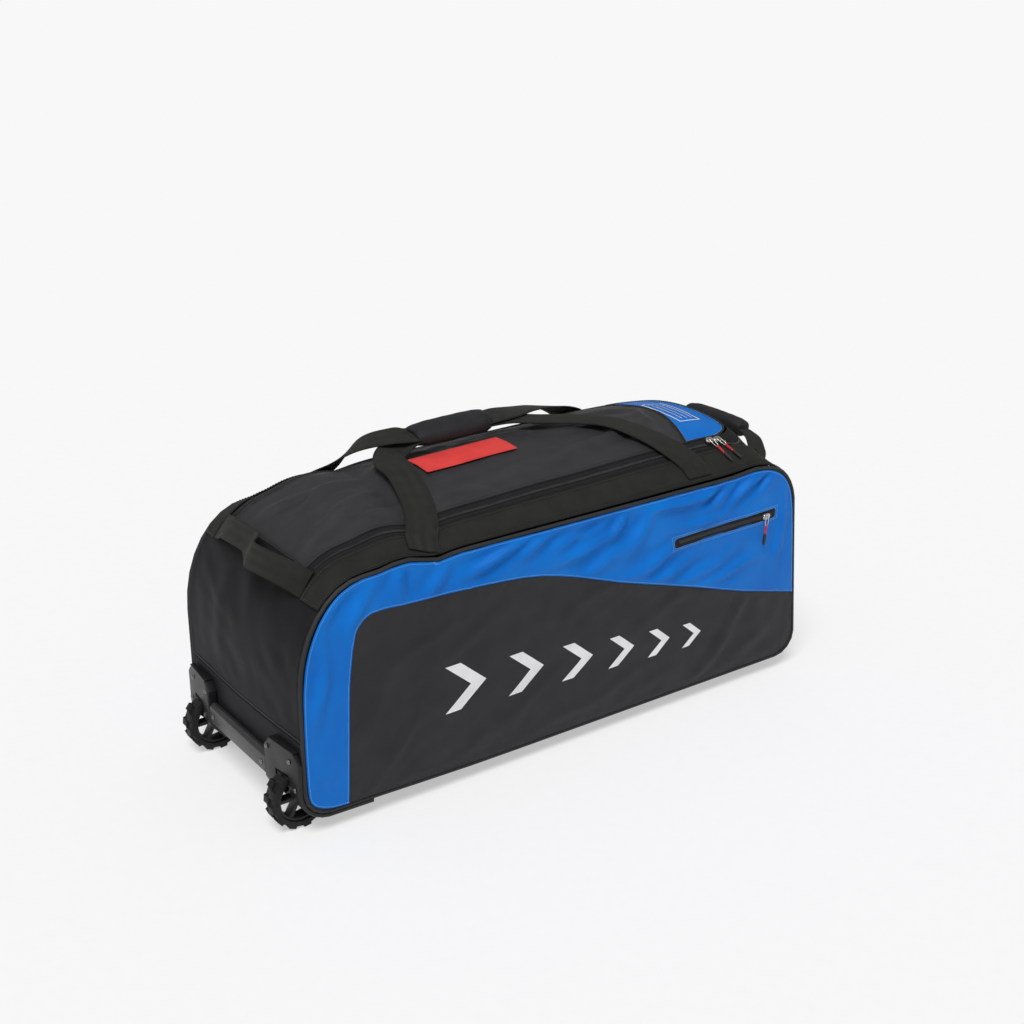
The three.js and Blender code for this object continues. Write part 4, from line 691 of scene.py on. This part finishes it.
def insetLoop(piece, loop, inset):
    # the edge of a skin moved inwards over it
    surface = surfaceOf([piece])
    moved = []
    count = len(loop)
    for i, place in enumerate(loop):
        before, after = loop[i - 1], loop[(i + 1) % count]
        along = (after - before).normalized()
        seat, normal, index, far = surface.find_nearest(place)
        side = normal.cross(along).normalized() * inset
        inside = surface.find_nearest(place + side)
        outside = surface.find_nearest(place - side)
        best = inside if inside[3] < outside[3] else outside
        moved.append(best[0])
    return moved


def stitchLook(material, pitch, long, wide, high):
    return {"material": material, "pitch": pitch * mm, "long": long * mm, "wide": wide * mm, "high": high * mm}


stitchLooks = {
    "blue": stitchLook(cloths["blueThread"], 3.2, 2.4, 0.85, 0.7),
    "black": stitchLook(cloths["blackThread"], 3.6, 2.7, 0.8, 0.8),
    "chain": stitchLook(moulded["coilPlastic"], 4.6, 4.2, 1.5, 1.2),
}


def stitchEdge(name, skinName, inset, look, loops=None):
    skin = skins[skinName]
    found = edgeLoops(skin)
    runs = [(insetLoop(skin, loop, inset), True) for loop in (found if loops is None else [found[i] for i in loops])]
    return stitchRuns(name, runs, surfaceOf([skin]), look)


stitchEdge("blue_side_front_stitches", "blue_side_front", 2.2 * mm, stitchLooks["blue"])
stitchEdge("blue_side_back_stitches", "blue_side_back", 2.2 * mm, stitchLooks["blue"])
stitchEdge("patch_stitches", "lid_patch_cloth", 2.4 * mm, stitchLooks["blue"])
for bandName in ("band_front", "band_back", "band_far"):
    stitchEdge(f"{bandName}_stitches", bandName, 3.6 * mm, stitchLooks["chain"])
stitchEdge("lid_stitches", "lid_cloth", 5.0 * mm, stitchLooks["black"])
stitchEdge("kick_stitches", "kick_cloth", 4.0 * mm, stitchLooks["black"], loops=[0])
print("stitches sewn")


for pipingName in ("piping_front", "piping_back", "kick_piping"):
    finishPiece(
        f"{pipingName}_cord", mergedCopy(pipingName), cloths["pipingCloth"], (pipingName,), sharp=70,
    )

# A tape behind each long seam closes it from the inside
seamTape = {"inward": 3.2 * mm, "deeper": 2.8 * mm, "thicker": 1.7 * mm}
for side, inward in (("front", 1), ("back", -1)):
    bm = mergedCopy(f"piping_{side}")
    for vert in bm.verts:
        place = vert.co + vert.normal * seamTape["thicker"]
        vert.co = place - fromCore(place) * seamTape["deeper"] + Vector((0, inward * seamTape["inward"], 0))
    finishPiece(f"seam_tape_{side}", bm, cloths["pipingCloth"])

# The rolled edge of the lid beside the zip, and the raised edge of its patch
lidEdge = {"radius": 1.5 * mm, "patchRadius": 1.9 * mm}
for edgeName, skinName, radius in (
    ("lid_binding", "lid_cloth", lidEdge["radius"]),
    ("patch_binding", "lid_patch_cloth", lidEdge["patchRadius"]),
):
    cordAlong(edgeName, edgeLoops(skins[skinName])[0], radius, cloths["pipingCloth"], closed=True)
print("piping and bindings made")


# The lid's zip and the pocket's zip: two rows of coil, and stitched tape

zipLook = {"pitch": 1.7 * mm, "long": 5.6 * mm, "wide": 1.05 * mm, "high": 1.5 * mm}
zipPlan = {"startX": -0.376, "halfY": 0.1147, "farX": 0.385, "turnRadius": 0.0166}


def zipLine():
    plan = zipPlan
    turn = plan["turnRadius"]
    half = [Vector((plan["startX"], -plan["halfY"], 0)), Vector((plan["farX"] - turn, -plan["halfY"], 0))]
    centre = Vector((plan["farX"] - turn, turn - plan["halfY"], 0))
    for i in range(1, 7):
        angle = math.radians(15 * i)
        half.append(centre + Vector((math.sin(angle), -math.cos(angle), 0)) * turn)
    return half + [Vector((p.x, -p.y, 0)) for p in reversed(half)]


def dropped(surface, place, high=0.6):
    hit, normal, index, far = surface.ray_cast(Vector((place.x, place.y, high)), Vector((0, 0, -1)))
    return hit, normal


def oneTooth(bm, matrix):
    bmesh.ops.create_cube(bm, size=1, matrix=matrix)


def coilAlong(name, placed, look):
    # placed has a seat, a direction and a normal for each turn of the coil
    size = Matrix.Diagonal((look["wide"], look["long"], look["high"], 1))
    matrices = [
        turnedTo(seat + normal * look["high"] * 0.3, along, normal) @ Matrix.Rotation(0.16, 4, "Z") @ size
        for seat, along, normal in placed
    ]
    bm = repeatedShape(oneTooth, matrices)
    return finishPiece(name, bm, moulded["coilPlastic"])


zipSurface = surfaceOf([skins["zip_tape_cloth"]])
zipSteps = []
for place, along in evenSteps(zipLine(), zipLook["pitch"]):
    seat, normal = dropped(zipSurface, place)
    if seat is not None:
        zipSteps.append((seat, along, normal))
coilAlong("lid_zip_coil", zipSteps, zipLook)
for side, offset in (("inner", -6.5 * mm), ("outer", 6.5 * mm)):
    run = [seat + normal.cross(along).normalized() * offset for seat, along, normal in zipSteps[::3]]
    stitchRuns(f"zip_{side}_stitches", [(run, False)], zipSurface, stitchLooks["black"])

pocketTape = finishPiece(
    "pocket_zip_tape", mergedCopy("pocket_zip"), cloths["zipCloth"], ("pocket_zip",), sharp=50,
)
pocketLow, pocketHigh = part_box("pocket_zip")
pocketSurface = surfaceOf([pocketTape])
pocketSteps = []
for place, along in evenSteps([
    Vector((pocketLow.x + 0.008, 0, pocketLow.z + 0.0068)), Vector((pocketHigh.x - 0.008, 0, pocketHigh.z - 0.0068)),
], zipLook["pitch"]):
    hit, normal, index, far = pocketSurface.ray_cast(Vector((place.x, -0.4, place.z)), Vector((0, 1, 0)))
    if hit is not None:
        pocketSteps.append((hit, along, normal))
coilAlong("pocket_zip_coil", pocketSteps, zipLook)


def pocketFrame():
    # the middle of the pocket's zip and its half extents, seen from the front
    places = np.array([(v.co.x, v.co.z) for v in pocketTape.data.vertices])
    middle = (places.max(0) + places.min(0)) / 2
    first = places[places[:, 0] < middle[0] - 0.03].mean(0)
    last = places[places[:, 0] > middle[0] + 0.03].mean(0)
    along = (last - first) / np.linalg.norm(last - first)
    across = np.array((-along[1], along[0]))
    return middle, along, across, abs((places - middle) @ along).max(), abs((places - middle) @ across).max()


pocketLook = {"tape": (2.2 * mm, 1.8 * mm), "stitches": (5.6 * mm, 5.2 * mm)}
middle, along, across, halfLong, halfWide = pocketFrame()
blueFront = surfaceOf([skins["blue_side_front"], pocketTape])


def onPocket(u, v):
    flat = middle + along * u + across * v
    hit, normal, index, far = blueFront.ray_cast(Vector((flat[0], -0.4, flat[1])), Vector((0, 1, 0)))
    return hit


bm = bmesh.new()
bmesh.ops.create_grid(bm, x_segments=60, y_segments=6, size=1)
for vert in bm.verts:
    u, v = vert.co.x, vert.co.y
    rounding = 1 - 0.55 * max(0, abs(u) - 0.965) / 0.035
    seat = onPocket(u * (halfLong + pocketLook["tape"][0]), v * (halfWide + pocketLook["tape"][1]) * rounding)
    vert.co = seat + Vector((0, -0.35 * mm, 0))
finishPiece("pocket_edge_tape", bm, cloths["zipCloth"])
outer = (halfLong + pocketLook["stitches"][0], halfWide + pocketLook["stitches"][1])
corners = [(-outer[0], -outer[1]), (outer[0], -outer[1]), (outer[0], outer[1]), (-outer[0], outer[1])]
pocketRun = []
for (u, v), (p, q) in zip(corners, corners[1:] + corners[:1]):
    pocketRun += [onPocket(u + (p - u) * k / 12, v + (q - v) * k / 12) for k in range(12)]
stitchRuns("pocket_stitches", [(pocketRun, True)], blueFront, stitchLooks["blue"])
print("zips made with", len(zipSteps) + len(pocketSteps), "turns of coil")


# Straps and handles of flat webbing. Each row is a middle, the direction across and the width, in mm

strapLooks = {
    "carry_strap_front": {
        "wall": 1.9 * mm, "steps": 150, "crown": 0.5, "clear": 1.6,
        "rows": [
            ((-236, -162, 364), (0.93, -0.24, -0.28), 44), ((-227, -140, 371), (0.85, -0.46, -0.25), 45),
            ((-212, -118, 381), (0.89, -0.44, -0.07), 45), ((-195, -79, 401), (0.93, -0.36, 0.03), 45),
            ((-182, -21, 422), (0.98, -0.15, 0.11), 45), ((-177, 24, 427), (0.96, -0.26, 0.13), 45),
            ((-153, 53, 429), (0.54, -0.81, -0.22), 45), ((-113, 62, 441), (0.06, -0.99, -0.12), 45),
            ((-72, 62, 441), (0.00, -0.99, -0.14), 45), ((-31, 62, 442), (0.00, -0.99, -0.14), 45),
            ((9, 62, 443), (0.00, -0.99, -0.16), 45), ((51, 61, 440), (-0.10, -0.99, -0.08), 45),
            ((101, 46, 433), (-0.40, -0.92, 0.0), 45), ((152, 17, 431), (-0.57, -0.82, 0.0), 45),
            ((194, -25, 428), (-0.86, -0.51, -0.01), 45), ((221, -83, 415), (-0.94, -0.35, -0.04), 45),
            ((240, -122, 398), (-0.87, -0.42, -0.26), 45), ((251, -143, 382), (-0.97, -0.18, -0.15), 45),
            ((252, -162, 368), (-1.0, 0.0, 0.0), 45),
        ],
    },
    "carry_strap_back": {
        "wall": 1.9 * mm, "steps": 130, "crown": 0.5, "clear": 1.6,
        "rows": [
            ((-236, 162, 367), (-0.98, 0.0, 0.19), 44), ((-234, 149, 376), (-0.91, -0.25, 0.33), 44),
            ((-211, 134, 394), (-0.75, -0.58, 0.32), 45), ((-179, 107, 429), (-0.61, -0.78, -0.14), 45),
            ((-145, 75, 444), (-0.53, -0.82, -0.23), 45), ((-119, 62, 444), (-0.23, -0.96, -0.15), 45),
            ((-84, 62, 444), (0.00, -0.99, -0.14), 45), ((-49, 62, 445), (0.00, -0.99, -0.14), 45),
            ((-14, 62, 446), (0.00, -0.99, -0.14), 45), ((21, 62, 447), (0.11, -0.98, -0.14), 45),
            ((57, 70, 445), (0.33, -0.94, -0.12), 45), ((110, 97, 435), (0.41, -0.91, 0.03), 45),
            ((164, 117, 424), (0.37, -0.92, 0.13), 45), ((213, 134, 405), (0.50, -0.80, 0.33), 45),
            ((245, 149, 384), (0.81, -0.46, 0.37), 45), ((252, 162, 370), (0.94, -0.23, 0.23), 45),
        ],
    },
    "grab_handle_wheel": {
        "wall": 2.2 * mm, "steps": 90, "crown": 0.4, "clear": 0.6,
        "rows": [
            ((-393, -124, 343), (0.60, 0.0, 0.80), 38), ((-399, -116, 347), (0.55, 0.0, 0.83), 38),
            ((-414, -100, 358), (0.45, 0.0, 0.89), 37), ((-430, -74, 367), (0.40, 0.0, 0.92), 36),
            ((-434, -46, 369), (0.42, 0.0, 0.91), 36), ((-421, -22, 368), (0.62, 0.0, 0.78), 34),
            ((-410, 2, 366), (0.75, 0.0, 0.66), 34), ((-407, 40, 363), (0.79, 0.0, 0.62), 35),
            ((-403, 80, 358), (0.78, 0.0, 0.63), 37), ((-397, 112, 348), (0.63, 0.0, 0.78), 39),
            ((-394, 124, 345), (0.65, 0.0, 0.76), 39),
        ],
    },
    "grab_handle_far": {
        "wall": 2.0 * mm, "steps": 100, "crown": 0.3, "clear": 0.6,
        "rows": [
            ((425, -116, 352), (0.69, 0.0, -0.73), 47), ((425, -110, 353), (0.69, 0.0, -0.72), 48),
            ((427, -102, 361), (0.96, 0.0, -0.29), 38), ((430, -90, 374), (0.99, 0.0, -0.14), 31),
            ((431, -74, 381), (0.99, 0.0, -0.14), 24), ((433, -50, 384), (0.99, 0.0, -0.14), 21),
            ((434, 0, 385), (0.99, 0.0, -0.14), 21), ((433, 50, 384), (0.99, 0.0, -0.14), 21),
            ((432, 74, 381), (0.99, 0.0, -0.14), 24), ((430, 90, 374), (0.99, 0.0, -0.14), 31),
            ((428, 102, 361), (0.96, 0.0, -0.29), 38), ((425, 110, 353), (0.68, 0.0, -0.73), 48),
            ((425, 116, 352), (0.68, 0.0, -0.74), 48),
        ],
    },
}


def webbingStrap(name, look, ground):
    rows = [(*middle, *side, width) for middle, side, width in look["rows"]]
    bm = bmesh.new()
    bmesh.ops.create_grid(bm, x_segments=look["steps"], y_segments=8, size=0.5)
    length = sum((Vector(b[:3]) - Vector(a[:3])).length for a, b in zip(rows, rows[1:])) * mm
    uv = bm.loops.layers.uv.new("along")
    for face in bm.faces:
        for loop in face.loops:
            u, v = loop.vert.co.x + 0.5, loop.vert.co.y
            loop[uv].uv = (u * length, v * rows[0][6] * mm + 0.1)
    for vert in bm.verts:
        u, v = vert.co.x + 0.5, vert.co.y
        row = smoothRow(rows, u)
        onward = smoothRow(rows, min(u + 0.01, 1)) - smoothRow(rows, max(u - 0.01, 0))
        along = Vector(onward[:3]).normalized()
        side = Vector(row[3:6])
        side = (side - along * side.dot(along)).normalized()
        out = side.cross(along).normalized()
        wave = 0.5 * noise.noise(Vector((u * 14, v * 2, len(rows))))
        place = (Vector(row[:3]) + side * v * row[6] + out * (look["crown"] * math.cos(math.pi * v) + wave)) * mm
        under, normal = dropped(ground, place)
        if under is not None:
            place.z = max(place.z, under.z + look["clear"] * mm + look["wall"] / 2)
        vert.co = place
    piece = finishPiece(f"{name}_webbing", bm, webbing, (name,))
    addWall(piece, look["wall"], 0.0)
    return piece


topSkins = ["lid_cloth", "lid_patch_cloth", "band_front", "band_back", "band_far", "zip_tape_cloth", "wheel_end_cloth"]
topSurface = surfaceOf([skins[name] for name in topSkins])
straps = {name: webbingStrap(name, look, topSurface) for name, look in strapLooks.items()}
print("straps made")


def strapStitches(name, strap, spans):
    # boxes of stitches with a cross on the feet of a strap; a span is a stretch of its grid, from 0 to 1
    rows = [(*middle, *side, width) for middle, side, width in strapLooks[strap]["rows"]]

    def at(u, v):
        row = smoothRow(rows, u)
        return (Vector(row[:3]) + Vector(row[3:6]) * v * row[6]) * mm

    runs = []
    for first, last in spans:
        corners = [(first, -0.42), (last, -0.42), (last, 0.42), (first, 0.42)]
        outline = []
        for (u, v), (p, q) in zip(corners, corners[1:] + corners[:1]):
            outline += [at(u + (p - u) * k / 8, v + (q - v) * k / 8) for k in range(8)]
        runs.append((outline, True))
        for v in (-0.42, 0.42):
            runs.append(([at(first + (last - first) * k / 8, v * (1 - k / 4)) for k in range(9)], False))
    return stitchRuns(name, runs, surfaceOf([straps[strap]]), stitchLooks["black"])


strapStitches("strap_front_stitches", "carry_strap_front", [(0.005, 0.07), (0.93, 0.995)])
strapStitches("strap_back_stitches", "carry_strap_back", [(0.005, 0.07), (0.93, 0.995)])
strapStitches("handle_wheel_stitches", "grab_handle_wheel", [(0.01, 0.1), (0.9, 0.99)])


# Stuffed pieces: remeshed, blown up a little as cloth and then smoothed

padLooks = {
    "grip_wrap": {"voxel": 3.4, "shrink": 0.5, "pressure": 3.0, "cap": 2.2, "fill": 0.7, "seed": 3.0, "crease": 0.6},
    "grab_pad_far": {"voxel": 3.0, "shrink": 0.4, "pressure": 3.0, "cap": 2.0, "fill": 0.8, "seed": 8.0, "crease": 0.5},
}


def stuffedPiece(name, node, look):
    piece = finishPiece(name, mergedCopy(node), cloths["padCloth"], (node,))
    remesh = piece.modifiers.new("remesh", "REMESH")
    remesh.mode = "VOXEL"
    remesh.voxel_size = look["voxel"] * mm
    applyModifiers(piece)
    mesh = piece.data
    for vert in mesh.vertices:
        vert.co -= vert.normal * look["shrink"] * mm
    rest = [vert.co.copy() for vert in mesh.vertices]
    cloth = piece.modifiers.new("cloth", "CLOTH")
    cloth.settings.quality = 5
    cloth.settings.mass = 0.2
    cloth.settings.use_pressure = True
    cloth.settings.uniform_pressure_force = look["pressure"]
    cloth.settings.effector_weights.gravity = 0
    for step in range(1, 21):
        scene.frame_set(step)
    applyModifiers(piece)
    scene.frame_set(1)
    mesh = piece.data
    for vert, start in zip(mesh.vertices, rest):
        move = vert.co - start
        if move.length > look["cap"] * mm:
            move = move.normalized() * look["cap"] * mm
        pucker = noise.noise(Vector((start.x * 60, start.y * 110, start.z * 110 + look["seed"])))
        vert.co = start + move + vert.normal * pucker * look["crease"] * mm
    addSmoothing(piece, 1)
    for polygon in mesh.polygons:
        polygon.use_smooth = True
    return piece


pads = {node: stuffedPiece(f"{node}_padding", node, look) for node, look in padLooks.items()}
print("pads stuffed")


# Moulded and metal pieces keep the form of their solids, with rounded edges

def roundedCopy(name, node, material, rounding, body="bag", angle=26, segments=2, flat=1.0):
    bm = mergedCopy(node)
    bmesh.ops.dissolve_limit(bm, angle_limit=math.radians(flat), verts=bm.verts, edges=bm.edges)
    rubbed = bm.faces.layers.float.new("wear")
    sharp = [e for e in bm.edges if len(e.link_faces) == 2 and e.calc_face_angle(0) > math.radians(angle)]
    made = bmesh.ops.bevel(
        bm, geom=sharp, offset=rounding * mm, offset_type="OFFSET", segments=segments, profile=0.5,
        affect="EDGES", clamp_overlap=True, material=-1,
    )
    for face in made["faces"]:
        face[rubbed] = 1
    bmesh.ops.triangulate(bm, faces=[face for face in bm.faces if len(face.verts) > 4])
    return finishPiece(name, bm, material, (node,), body, sharp=35)


for side in ("front", "back"):
    roundedCopy(f"housing_{side}_shell", f"wheel_housing_{side}", moulded["housingPlastic"], 0.9)
    body = f"wheel_{side}"
    roundedCopy(f"tyre_{side}_rubber", f"tyre_{side}", moulded["tyreRubber"], 0.5, body, flat=0.5)
    roundedCopy(f"rim_{side}_spokes", f"rim_{side}", moulded["rimPlastic"], 0.45, body)
    roundedCopy(f"axle_{side}_pin", f"axle_{side}", moulded["darkSteel"], 0.5)
    for i in (1, 2, 3):
        roundedCopy(f"rivet_{side}_{i}", f"housing_rivet_{side}_{i}", moulded["darkSteel"], 0.3)
roundedCopy("guard_bar_plastic", "guard_bar", moulded["barPlastic"], 1.4, segments=3)
for i in (1, 2):
    roundedCopy(f"rivet_bar_{i}", f"bar_rivet_{i}", moulded["darkSteel"], 0.3)
print("wheels and housings finished")


# Zip sliders with a wire loop, a doubled red cord and a rubber end

pullLook = {"wire": 0.75, "loopWidth": 6.4, "cordRadius": 1.0, "cordApart": 1.05, "turns": 2.5}


def middleOf(node):
    low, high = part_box(node)
    return (low + high) / 2


def zipPull(name, facing):
    roundedCopy(f"{name}_slider_body", f"{name}_slider", moulded["steel"], 0.8, segments=3)
    seat, tab, cord, end = (middleOf(f"{name}_{part}") for part in ("slider", "pull_tab", "pull_cord", "pull_end"))
    along = (end - tab).normalized()
    side = facing.cross(along).normalized()
    reach = (cord - tab).length
    loop = []
    for i in range(28):
        turn = 2 * math.pi * i / 28
        out = math.copysign(abs(math.cos(turn)) ** 0.7, math.cos(turn)) * reach * 0.62
        across = math.copysign(abs(math.sin(turn)) ** 0.8, math.sin(turn)) * pullLook["loopWidth"] / 2 * mm
        loop.append(tab + along * out + side * across)
    wire = cordAlong(f"{name}_wire_loop", loop, pullLook["wire"] * mm, moulded["steel"], closed=True)
    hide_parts(f"{name}_pull_tab")
    start, stop = tab + along * reach * 0.5, end
    bm = bmesh.new()
    for phase in (0, math.pi):
        strand = []
        for i in range(31):
            share = i / 30
            turn = phase + share * pullLook["turns"] * 2 * math.pi
            swing = pullLook["cordApart"] * mm
            strand.append(start.lerp(stop, share) + (side * math.cos(turn) + facing * math.sin(turn)) * swing)
        tube = cordAlong("strand", strand, pullLook["cordRadius"] * mm, cloths["redCordCloth"])
        bm.from_mesh(tube.data)
        bpy.data.objects.remove(tube)
    finishPiece(f"{name}_red_cord", bm, cloths["redCordCloth"], (f"{name}_pull_cord",))
    rubber = finishPiece(
        f"{name}_rubber_end", mergedCopy(f"{name}_pull_end"), moulded["pullRubber"],
        (f"{name}_pull_end",),
    )
    addSmoothing(rubber, 2)


zipPull("pocket", Vector((0, -1, 0)))
zipPull("main_1", Vector((0, -0.6, 0.8)))
zipPull("main_2", Vector((0, -0.6, 0.8)))
print("zip pulls made")


# The red label, the blank name panel on the patch and the printed row on the sides

def clothPlate(name, node, material, tuck):
    bm = mergedCopy(node)
    bmesh.ops.subdivide_edges(bm, edges=bm.edges, cuts=3, use_grid_fill=True)
    piece = finishPiece(name, bm, material, (node,), sharp=50)
    for vert in piece.data.vertices:
        wave = noise.noise(Vector((vert.co.x * 40, vert.co.y * 55, 2.0)))
        vert.co.z += max(wave, -0.2) * tuck * mm
    return piece


label = clothPlate("red_label", "lid_label", cloths["labelCloth"], 0.5)
labelLow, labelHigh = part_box("lid_label")
labelInset = 3.0 * mm
labelRun = [
    Vector((x, y, labelHigh.z))
    for x, y in (
        (labelLow.x + labelInset, labelLow.y + labelInset), (labelHigh.x - labelInset, labelLow.y + labelInset),
        (labelHigh.x - labelInset, labelHigh.y - labelInset), (labelLow.x + labelInset, labelHigh.y - labelInset),
    )
]
redThread = dict(stitchLooks["black"], material=cloths["redCordCloth"], wide=0.6 * mm, high=0.5 * mm)
stitchRuns("label_stitches", [(labelRun, True)], surfaceOf([label]), redThread)


printLook = {
    # the row of chevrons that narrows to the right: middle X, middle Z, half height, arm, stroke, in mm
    "chevrons": [
        (-184, 158, 36, 42, 26), (-80, 149, 32, 38, 23.5), (12, 140, 28.5, 34, 21), (95, 132, 25, 30, 18.5),
        (169, 125, 22, 26, 16.5), (235, 119, 19.5, 23, 14.5),
    ],
    "lift": 0.35,
}


def chevronGrids(bm, side):
    for x, z, half, arm, stroke in printLook["chevrons"]:
        made = bmesh.ops.create_grid(bm, x_segments=6, y_segments=24, size=0.5)
        for vert in made["verts"]:
            across, up = vert.co.x, vert.co.y
            lean = (0.5 - abs(up)) * 2 * arm
            vert.co = Vector((x + across * stroke + lean - arm / 2, side * 400, z + up * 2 * half)) * mm


def laidOn(name, bm, surface, direction, lift):
    # flat grids laid on a surface along a direction
    lost = []
    for vert in bm.verts:
        hit, normal, index, far = surface.ray_cast(vert.co - direction * 0.1, direction)
        if hit is None:
            lost.append(vert)
        else:
            vert.co = hit - direction * lift * mm
    bmesh.ops.delete(bm, geom=lost, context="VERTS")
    for face in bm.faces:
        face.normal_update()
        if face.normal.dot(direction) > 0:
            face.normal_flip()
    return finishPiece(name, bm, cloths["printInk"])


for side, skinName in ((-1, "black_side_front"), (1, "black_side_back")):
    bm = bmesh.new()
    chevronGrids(bm, side)
    laidOn(
        f"{skinName}_print", bm, surfaceOf([skins[skinName]]), Vector((0, -side, 0)), printLook["lift"],
    )

# A blank name panel on the patch: an outline and three ruled lines, in mm
namePanel = {"middle": (331, 0), "long": 96, "wide": 42, "stroke": 2.2, "lines": (-9, 1, 11), "lift": 0.35}


def barGrid(bm, low, high):
    steps = [max(2, round(abs(b - a) / 4)) for a, b in zip(low, high)]
    made = bmesh.ops.create_grid(bm, x_segments=steps[0], y_segments=steps[1], size=0.5)
    for vert in made["verts"]:
        u, v = vert.co.x + 0.5, vert.co.y + 0.5
        vert.co = Vector((low[0] + (high[0] - low[0]) * u, low[1] + (high[1] - low[1]) * v, 600)) * mm


def drawNamePanel():
    x, y = namePanel["middle"]
    wide, long, stroke = namePanel["wide"] / 2, namePanel["long"] / 2, namePanel["stroke"]
    bm = bmesh.new()
    for lineX in (x - wide, x + wide - stroke):
        barGrid(bm, (lineX, y - long), (lineX + stroke, y + long))
    for lineY in (y - long, y + long - stroke):
        barGrid(bm, (x - wide, lineY), (x + wide, lineY + stroke))
    for lineX in namePanel["lines"]:
        barGrid(bm, (x + lineX, y - long + 10), (x + lineX + stroke * 0.6, y + long - 10))
    surface = surfaceOf([skins["lid_patch_cloth"]])
    laidOn("name_panel_print", bm, surface, Vector((0, 0, -1)), namePanel["lift"])


drawNamePanel()
print("prints laid on")


# Walls of the cloth, and the stage

for skin in skins.values():
    addWall(skin, 1.8 * mm)

placeCamera()
placeLights()
floorMesh = bpy.data.meshes.new("floor")
bm = bmesh.new()
bmesh.ops.create_grid(bm, x_segments=1, y_segments=1, size=stageLook["floorHalf"])
bm.to_mesh(floorMesh)
bm.free()
paper = moulded["floorPaper"]
paper.node_tree.nodes["Principled BSDF"].inputs["Emission Color"].default_value = (1, 1, 1, 1)
paper.node_tree.nodes["Principled BSDF"].inputs["Emission Strength"].default_value = stageLook["floorGlow"]
floorMesh.materials.append(paper)
floor = bpy.data.objects.new("floor", floorMesh)
scene.collection.objects.link(floor)
print("stage set")
